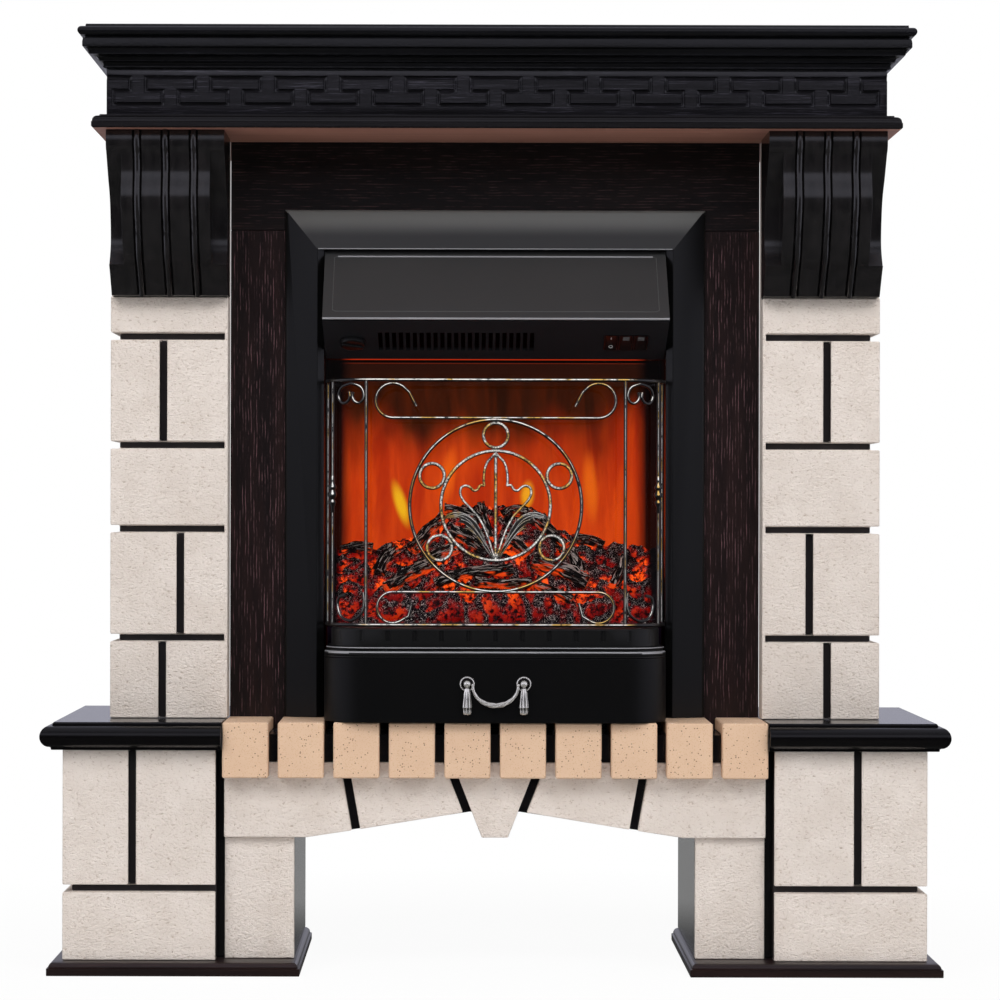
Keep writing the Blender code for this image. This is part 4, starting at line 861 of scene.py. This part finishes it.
# Flame motor, spindle, lamp tube and fan heater behind the screen: zinc-plated steel and black moulded plastic.
# The plating is slightly cloudy and drawn along one way; the plastic has a fine spark-eroded grain.
zinc, tree, place = material("zinc_plate")
lines = mottle(tree, place, (30.0, 700.0, 700.0), 2.0)
shade(tree, {"Base Color": blend(tree, lines, "A8A9A6", "C3C4C0"), "Metallic": 1.0,
             "Roughness": remap(tree, lines, 0.0, 1.0, 0.28, 0.46)})
plastic, tree, place = material("black_abs")
spark = mottle(tree, place, 2200.0, 1.0)
shade(tree, {"Base Color": blend(tree, spark, "0B0B0C", "151516"), "Normal": bump(tree, spark, 0.3, 0.0001),
             "Roughness": 0.38, "Specular IOR Level": 0.25})
for node, finish in (("spindle_motor", zinc), ("flame_spindle", zinc), ("heater_unit", zinc), ("blower_rotor", plastic),
                     ("lamp_bar", plastic)):
    dress(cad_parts[node], finish)


# Hood: one folded steel sheet, powder coated, its sloping face embossed with a thin rectangle.
# The lower edge is hemmed round a wire. The sheet is painted a lighter grey than the frame, a painted sheen for the
# light from above; the emboss is painted lighter still, and a step line at the head and the hem carry the painted
# highlight grey. The head of the sheet is drawn forward, up to the lip of the frame.
hood = softened("folded_hood", "hood", 0.0005, 2)
head_low, head_back = 0.8385, -0.0206
for vertex in hood.data.vertices:
    if vertex.co.z > head_low and vertex.co.y < head_back:
        vertex.co += Vector((0.0, -0.0110, 0.0025))
head = Vector((0.0, -0.0330, 0.8455))
edge = Vector((0.0, -0.1185, 0.7600))
slope = edge - head
sink = Vector((0.0, slope.z, -slope.y)).normalized() * 0.00005


def on_hood(x, share):
    """Point on the hood's face at a share of the way down."""
    return head + slope * share - sink + Vector((x, 0.0, 0.0))


right_side = [(0.186, 0.100), (0.190, 0.115), (0.190, 0.885), (0.186, 0.905)]
outline = [on_hood(x, share) for x, share in right_side + [(-x, share) for x, share in reversed(right_side)]]
emboss = tube("emboss", [outline], 0.0004, 1, closed=True)
step = tube("step", [[on_hood(x, 0.100) for x in (-0.186, 0.186)]], 0.0011, 2)
hem = tube("hem", [[edge + Vector((x, 0.0010, -0.0006)) for x in (-0.2014, 0.2014)]], 0.0013, 3)
# The sheet takes a lighter grey as a painted sheen, and the emboss, step and hem are coloured as painted highlights.
dress(hood, powder_coat("hood_painted_sheen_coat", "303031", "343435", 0.42, 0.12), painted_highlight_grey)
dress(emboss, powder_coat("emboss_painted_highlight_coat", "4A4A4A", "565656", 0.35, 0.1))
dress(step, painted_highlight_grey)
dress(hem, painted_highlight_grey)
hood = weld([hood, emboss, step, hem])
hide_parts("hood")
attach(hood, "suite")


# Control panel: black sheet under the hood with the outlet grille, the thermostat and three rocker switches.
# Snap-in plastic bezels stand round the switches, and the low knob has a bar to grip. Small parts are made flat, then
# laid on the panel, whose own frame has x across, y up the slope and z out of the face.
foot = Vector((0.0, -0.0180, 0.7170))
along = (edge - foot).normalized()
face = Vector((1.0, 0.0, 0.0)).cross(along)
panel_place = Matrix.Translation((edge + foot) / 2) @ Matrix((Vector((1, 0, 0)), along, face)).transposed().to_4x4()
panel = softened("grille_panel", "control_panel", 0.0003, 1)
dress(panel, powder_coat("panel_powder_coat", "1D1D20", "232326", 0.7, 0.12, 0.1))
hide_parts("control_panel")
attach(panel, "suite")


def on_panel(piece, place):
    """Move a piece that is laid on the panel by a matrix in the panel's own frame."""
    piece.data.transform(panel_place @ place @ panel_place.inverted())


def slab_at(name, size, spot, round_off):
    """Small rounded block laid on the control panel, its size and place in the panel's own frame."""
    piece = begin(name, bpy.ops.mesh.primitive_cube_add, size, size=1.0)
    open_mesh()
    bpy.ops.mesh.bevel(offset=round_off, segments=3)
    bpy.ops.object.mode_set(mode="OBJECT")
    piece.data.transform(panel_place @ Matrix.Translation(spot))
    smooth(35)
    return piece


drop, knob_across = -0.0078, -0.168
switches = (("rocker_main", "main_switch", 0.136), ("rocker_heat_low", "low_heat_switch", 0.1535),
            ("rocker_heat_high", "high_heat_switch", 0.171))
bezels = []
for node, body, across in switches:
    for side in (-1, 1):
        bezels.append(slab_at("bezel", (0.0012, 0.0375, 0.0012), (across + side * 0.0076, drop, 0.0006), 0.0003))
        bezels.append(slab_at("bezel", (0.0164, 0.0012, 0.0012), (across, drop + side * 0.0183, 0.0006), 0.0003))
bezel = weld(bezels)
bezel.name = "switch_bezels"
dress(bezel, plastic)
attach(bezel, "suite")

knob = softened("knob_body", "thermostat_knob", 0.0006, 2)
knob_place = Matrix.Translation((knob_across, drop, 0.0))
grip = slab_at("grip", (0.0265, 0.0062, 0.0075), (knob_across, drop, 0.0152), 0.0018)
on_panel(grip, knob_place @ Matrix.Rotation(math.radians(-18), 4, "Z") @ knob_place.inverted())
knob = weld([knob, grip])
on_panel(knob, Matrix.Diagonal((1.0, 1.0, 0.42, 1.0)))
knob.name = "thermostat_dial"
dress(knob, plastic)
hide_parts("thermostat_knob")
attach(knob, "knob")

print_white = plain_paint("pad_printed_white", "B4B4B4", "E0E0E0", 1500.0, 2.0, 0.5)
lens_grey = plain_paint("grey_switch_window", "545557", "646567", 600.0, 2.0, 0.55, 0.1)
tilt = math.radians(8)
for node, body, across in switches:
    rocker = softened(node + "_key", node, 0.0005, 2)
    dress(rocker, plastic)
    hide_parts(node)
    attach(rocker, body)
    if node == "rocker_main":
        finish = print_white
        ring = begin("ring", bpy.ops.mesh.primitive_torus_add, major_radius=0.0021, minor_radius=0.00035,
                     major_segments=24, minor_segments=6)
        ring.data.transform(panel_place)
        marks = [(slab_at("mark", (0.0008, 0.0052, 0.0003), (0.0, 0.0, 0.0), 0.0001), 0.0085), (ring, -0.0085)]
    else:
        finish = lens_grey
        marks = [(slab_at("mark", (0.0078, 0.0095, 0.0004), (0.0, 0.0, 0.0), 0.00015), 0.0078)]
    pivot = Matrix.Translation((across, drop, -0.002)) @ Matrix.Rotation(-tilt, 4, "X")
    for mark, up in marks:
        seat = Matrix.Translation((0.0, up, 0.00165 + abs(up) * math.tan(tilt)))
        on_panel(mark, pivot @ seat @ Matrix.Rotation(math.copysign(tilt, up), 4, "X"))
    mark = weld([mark for mark, up in marks])
    mark.name = node + "_mark"
    dress(mark, finish)
    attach(mark, body)


# Fender: a cast and powder-coated kerb with rounded corners, a double bead below and a notched band on top.
# The upward faces of the bead's two rolls are coloured pale grey, a painted highlight, so they show as two pale lines.
low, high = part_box("fender")
kerb_front, kerb_half, corner = -0.150, 0.199, 0.052
profile = [(0.0042 - x, z) for x, z in arc((0.0, 0.3714), 0.0042, -88, 76, 12)]
profile += [(0.0040 - x, z) for x, z in arc((0.0, 0.3778), 0.0018, -62, 88, 8)]
profile += [(0.0078, 0.3806), (0.0078, 0.3990), (0.0084, 0.4003), (0.0098, high.z)]
profile = [(inset, z - low.z) for inset, z in profile]
kerb = moulded("fender_kerb", "fender", profile, corner=corner, front=kerb_front)
notches = []
flat, bend, pitch = kerb_half - corner, 0.0442, 0.031
for number in range(-6, 7):
    run = abs(number) * pitch
    turn = max(run - flat, 0.0) / bend
    x = math.copysign(min(run, flat) + bend * math.sin(turn), number)
    y = kerb_front + corner - bend * math.cos(turn)
    notches.append([(x, y, 0.3862), (x, y, 0.3985)])
cut_away(kerb, tube("notch", notches, 0.0029, 3))
runner_top, bead_low, bead_high = 0.3690, 0.3700, 0.3798
runner = softened("runner", "fender", 0.0003, 1)
open_mesh()
bpy.ops.mesh.bisect(plane_co=(0.0, 0.0, runner_top), plane_no=(0.0, 0.0, 1.0), clear_outer=True, use_fill=True)
bpy.ops.object.mode_set(mode="OBJECT")
kerb = weld([kerb, runner])
smooth(32)
dress(kerb, powder_coat("kerb_powder_coat", "0D0D0D", "131313", 0.40, 0.05, 0.2), painted_highlight_grey)
# Upward-facing faces on the bead take the painted highlight grey in slot 1.
for face in kerb.data.polygons:
    face.material_index = int(bead_low < face.center.z < bead_high and 0.30 < face.normal.z < 0.80)
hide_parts("fender")
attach(kerb, "suite")


# Ash drawer: a folded and powder-coated tray whose front follows the fender's round corners.
# It slides on two rails under the fender and is pulled by the drop handle.
drawer = softened("ash_tray_drawer", "ash_drawer", 0.0012, 3)
dress(drawer, case_coat)
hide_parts("ash_drawer")
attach(drawer, "drawer")


# Drop handle: cast zinc, pewter plated and blackened, then buffed so that only the high parts shine.
# Each side has a beaded disc with a ball and a hanging tassel; the bail between them is twisted like rope.
pewter, tree, place = material("antique_pewter_plate")
buffed = remap(tree, add(tree, "NewGeometry").outputs["Pointiness"], 0.482, 0.535)
sheen = remap(tree, mottle(tree, place, 700.0, 3.0), 0.0, 1.0, 0.14, 0.30)
shade(tree, {"Base Color": blend(tree, buffed, "161412", "E6E3DE"), "Roughness": sheen, "Metallic": 0.75})


def turned(name, profile, steps=32):
    """Solid turned about Z from (radius, height) points, by spinning a line drawn from point to point."""
    piece = drawn_line(name, [(radius, 0.0, height) for radius, height in profile])
    bpy.ops.mesh.spin(steps=steps, angle=math.tau, center=(0.0, 0.0, 0.0), axis=(0.0, 0.0, 1.0))
    bpy.ops.mesh.select_all(action="SELECT")
    bpy.ops.mesh.remove_doubles(threshold=0.00002)
    close_mesh()
    smooth(50)
    return piece


handle_height, drawer_face, handle_half = 0.3375, -0.1503, 0.0326
bead_count, bead_circle = 22, 0.0076
for side, tag in ((-1, "left"), (1, "right")):
    parts = [turned("rosette_" + tag, [
        (0.0, 0.0090), (0.0022, 0.0086), (0.0037, 0.0072), (0.0042, 0.0055), (0.0036, 0.0036), (0.0030, 0.0030),
        (0.0058, 0.0026), (0.0066, 0.0021), (0.0076, 0.0030), (0.0084, 0.0026), (0.0087, 0.0014), (0.0087, 0.0),
        (0.0, 0.0)])]
    for number in range(bead_count):
        turn = math.tau * number / bead_count
        spot = (bead_circle * math.cos(turn), bead_circle * math.sin(turn), 0.0030)
        parts.append(begin("bead", bpy.ops.mesh.primitive_ico_sphere_add, subdivisions=1, radius=0.00085,
                           location=spot))
    disc = weld(parts)
    disc.data.transform(Matrix.Translation((side * handle_half, drawer_face, handle_height))
                        @ Matrix.Rotation(math.radians(90), 4, "X"))
    tassel = turned("tassel", [
        (0.0, 0.0015), (0.0026, 0.0010), (0.0030, -0.0040), (0.0033, -0.0110), (0.0040, -0.0195), (0.0041, -0.0208),
        (0.0036, -0.0212), (0.0033, -0.0225), (0.0035, -0.0262), (0.0033, -0.0284), (0.0022, -0.0292),
        (0.0, -0.0294)], 28)
    for vertex in tassel.data.vertices:
        if -0.0285 < vertex.co.z < -0.002:
            swell = 1.22 + 0.19 * math.cos(7 * math.atan2(vertex.co.y, vertex.co.x))
            vertex.co.x *= swell
            vertex.co.y *= swell
    tassel.data.transform(Matrix.Translation((side * handle_half, drawer_face - 0.0043, handle_height - 0.0060)))
    rosette = weld([disc, tassel])
    dress(rosette, pewter)
    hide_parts("handle_rosette_" + tag)
    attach(rosette, "drawer")

low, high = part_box("handle_bail")
hang = (low.y + high.y) / 2
reach = (high.x - low.x) / 2 - 0.0022
end_height, sag = handle_height - 0.0025, 0.0218
strands, steps, twists = 4, 72, 1.8
twist = []
for strand in range(strands):
    run = []
    for step in range(steps + 1):
        angle = math.pi * step / steps
        centre = Vector((reach * math.cos(angle), hang, end_height - sag * math.sin(angle)))
        outward = Vector((math.cos(angle) / reach, 0.0, -math.sin(angle) / sag)).normalized()
        turn = math.tau * (strand / strands + twists * step / steps)
        spread = 0.0003 + 0.0015 * math.sin(angle) ** 2
        run.append(centre + (outward * math.cos(turn) + Vector((0.0, 1.0, 0.0)) * math.sin(turn)) * spread)
    twist.append(run)
parts = [tube("twisted_bail", twist, 0.0012, 3)]
for side in (-1, 1):
    parts.append(begin("bail_end", bpy.ops.mesh.primitive_uv_sphere_add, segments=16, ring_count=10, radius=0.0019,
                       location=(side * reach, hang, handle_height - 0.0012)))
    bpy.ops.object.shade_smooth()
bail = weld(parts)
dress(bail, pewter)
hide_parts("handle_bail")
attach(bail, "bail")


# Guard: steel wire bent cold and welded and sprayed black; silver and gold are painted as a highlight on the side of
# each wire facing forward and up. Two bay-shaped rails carry the posts; scrolls, rings and a flower in a double circle
# fill the front. The painted highlight is a narrow line along the crowns of the round wires, and wider and more broken
# on the rings and the flower.
def painted_crown_highlight(name, size, crown, patch_range):
    """Black wire paint, with a painted highlight of silver and gold on the side of each wire facing forward and up,
    broken into patches.
    """
    made, tree, place = material(name)
    patch_noise = mottle(tree, place, size, 3.0, 0.7)
    normal = add(tree, "NewGeometry").outputs["Normal"]
    forward = add(tree, "VectorMath", {0: normal, 1: (0.0, -0.96, 0.28)}, operation="DOT_PRODUCT").outputs["Value"]
    highlight_share = product(tree, remap(tree, forward, *crown), remap(tree, patch_noise, *patch_range))
    highlight_tint = blend(tree, remap(tree, mottle(tree, place, 45.0, 2.0), 0.50, 0.58), "F2F0EC", "E0B55E")
    shade(tree, {"Base Color": blend(tree, highlight_share, "0A0807", highlight_tint), "Normal": bump(tree, patch_noise, 0.15, 0.0003),
                 "Roughness": 0.28})
    return made


low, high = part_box("fire_guard")
front, rail_top, rail_foot = -0.126, 0.688, 0.4042
bay_half, bay_corner = 0.197, 0.052
inner_half = bay_half - bay_corner


def set_back(turn):
    """How far behind the front the rail is, where it has turned through an angle."""
    return bay_corner * (1 - math.cos(turn))


def flat_runs(lines, sides=(1,), back=0.0):
    """Lines of (x, z) points set in the guard's front, on the given sides."""
    return [[(side * x, front + back, z) for x, z in line] for side in sides for line in lines]


plan = [(-bay_half, high.y), *arc((-inner_half, front + bay_corner), bay_corner, 180, 270, 14),
        *arc((inner_half, front + bay_corner), bay_corner, 270, 360, 14), (bay_half, high.y)]
rails = tube("rails", [[(x, y, z) for x, y in plan] for z in (rail_top, rail_foot)], 0.0023, 3)
posts = []
knuckles = []
for side in (-1, 1):
    spots = [(side * bay_half, high.y - 0.008)]
    for turn in (math.radians(5.5), math.radians(59.0)):
        spots.append((side * (inner_half + bay_corner * math.sin(turn)), front + set_back(turn)))
    posts += [[(x, y, rail_foot), (x, y, rail_top)] for x, y in spots]
    knuckle = turned("knuckle", [
        (0.0, 0.024), (0.0023, 0.022), (0.0028, 0.016), (0.0022, 0.014), (0.0042, 0.010), (0.0046, 0.008),
        (0.0026, 0.0055), (0.0044, 0.002), (0.0050, 0.0), (0.0044, -0.002), (0.0026, -0.0055), (0.0042, -0.008),
        (0.0040, -0.010), (0.0022, -0.014), (0.0026, -0.020), (0.0, -0.024)], 14)
    knuckle.data.transform(Matrix.Translation((*spots[2], 0.555)))
    knuckles.append(knuckle)
uprights = tube("uprights", posts, 0.0020, 3)

scrolls = []
for up, rail, curl, tip in ((1, 0.644, 0.0200, (0.092, 0.6575)), (-1, 0.4425, 0.0180, (0.0965, 0.4300))):
    ring = arc((0.119, rail + up * curl), curl, -90 * up, 125 * up, 18)
    half = [*ring, (0.1005, rail + up * (curl + 0.010)), tip]
    scrolls += flat_runs([[(-x, z) for x, z in reversed(half)] + half])
horn = [(0.1696, 0.6740), (0.1690, 0.6680), (0.1716, 0.6630), (0.1766, 0.6612), (0.1812, 0.6650), (0.1822, 0.6720),
        (0.1780, 0.6800), (0.1675, 0.6840)]
horn_middle = 0.1675
other_horn = [(2 * horn_middle - x, z) for x, z in horn]
hook = [(0.1530, 0.4420), (0.1520, 0.4300), (0.1560, 0.4160), (0.1680, 0.4090), (0.1790, 0.4140), (0.1830, 0.4260),
        (0.1810, 0.4360), (0.1740, 0.4385)]
for side in (-1, 1):
    for shape in (horn, other_horn, hook):
        run = []
        for x, z in flow(shape, 4):
            turn = math.asin(min(max(x - inner_half, 0.0) / bay_corner, 0.97))
            run.append((side * x, front + set_back(turn), z))
        scrolls.append(run)

hub, outer_radius, inner_radius, ring_circle, ring_radius = 0.5425, 0.0995, 0.0634, 0.0813, 0.0143
tie = [(0.0, rail_top - 0.044), (0.0, hub + 0.0985)]
thin = tube("scrolls", scrolls + flat_runs([tie]), 0.0018, 3)
outer = tube("outer_circle", flat_runs([arc((0.0, hub), outer_radius, 0, 356, 89)]), 0.0021, 3, closed=True)
inner = tube("inner_circle", flat_runs([arc((0.0, hub), inner_radius, 0, 354, 59)]), 0.0021, 3, closed=True)
rings = []
for angle in (90, 155, 217, 323, 25):
    turn = math.radians(angle)
    spot = (ring_circle * math.cos(turn), hub + ring_circle * math.sin(turn))
    rings.append(arc(spot, ring_radius, 0, 350, 35))
small = tube("small_rings", flat_runs(rings), 0.0021, 3, closed=True)

ogee = [(0.0130, 0.5655), (0.0138, 0.5720), (0.0128, 0.5840), (0.0095, 0.5930), (0.0045, 0.5985), (0.0, 0.6035)]
lobe = [(0.0130, 0.5655), (0.0175, 0.5662), (0.0212, 0.5610), (0.0255, 0.5600), (0.0300, 0.5640), (0.0350, 0.5655),
        (0.0400, 0.5630), (0.0410, 0.5560), (0.0370, 0.5480), (0.0290, 0.5395), (0.0205, 0.5300), (0.0140, 0.5185),
        (0.0085, 0.5050), (0.0040, 0.4910), (0.0, 0.4805)]
petal = tube("petals", flat_runs([flow(shape, 4) for shape in (ogee, lobe)], (-1, 1)), 0.0016, 3)
stem = tube("stem", flat_runs([[(0.0, hub - inner_radius), (0.0, hub + inner_radius)]]), 0.0020, 3)

leaf = [(-0.0605, 0.5275), (-0.0555, 0.5320), (-0.0480, 0.5345), (-0.0400, 0.5345), (-0.0310, 0.5310),
        (-0.0235, 0.5245), (-0.0180, 0.5150), (-0.0120, 0.5010), (-0.0060, 0.4885), (-0.0010, 0.4800),
        (-0.0060, 0.4850), (-0.0130, 0.4950), (-0.0190, 0.5040), (-0.0250, 0.5110), (-0.0320, 0.5160),
        (-0.0370, 0.5160), (-0.0330, 0.5195), (-0.0375, 0.5230), (-0.0440, 0.5240), (-0.0390, 0.5275),
        (-0.0450, 0.5295), (-0.0530, 0.5290)]
veins = [[(0.0560, 0.5300), (0.0430, 0.5310), (0.0310, 0.5255), (0.0205, 0.5120), (0.0100, 0.4960), (0.0015, 0.4810)],
         [(0.0490, 0.5320), (0.0400, 0.5325), (0.0300, 0.5290), (0.0210, 0.5200), (0.0130, 0.5060)],
         [(0.0400, 0.5265), (0.0330, 0.5240), (0.0260, 0.5180), (0.0190, 0.5090), (0.0110, 0.4960)],
         [(0.0340, 0.5195), (0.0280, 0.5150), (0.0220, 0.5080), (0.0150, 0.4990)]]
leaves = []
for outline in flat_runs([leaf], (1, -1)):
    leaves.append(plate("leaf", outline, (0.0, 0.0018, 0.0)))
    open_mesh()
    bpy.ops.mesh.bevel(offset=0.0004, segments=2)
    bpy.ops.object.mode_set(mode="OBJECT")
    smooth(35)
vein = tube("veins", flat_runs([flow(line, 4) for line in veins], (-1, 1), -0.0002), 0.0007, 2)
rim = tube("rims", flat_runs([leaf], (-1, 1)), 0.0009, 2, closed=True)

wires = [rails, uprights, *knuckles, thin, outer, vein, rim]
flower = [inner, small, petal, stem]
# Painted highlight: a narrow band on the wires, a wider and patchier one on the rings and the flower.
wire_highlight = painted_crown_highlight("wire_painted_highlight", 150.0, (0.935, 0.985), (0.34, 0.48))
ring_highlight = painted_crown_highlight("ring_painted_highlight", 420.0, (0.70, 0.94), (0.38, 0.62))
wire_black = powder_coat("wire_black_paint", "080706", "14110D", 0.35, 0.1)
for group, finish in ((wires, wire_highlight), (flower, ring_highlight), (leaves, wire_black)):
    for part in group:
        dress(part, finish)
guard = weld([*wires, *flower, *leaves])
guard.name = "wire_guard"
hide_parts("fire_guard")
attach(guard, "suite")
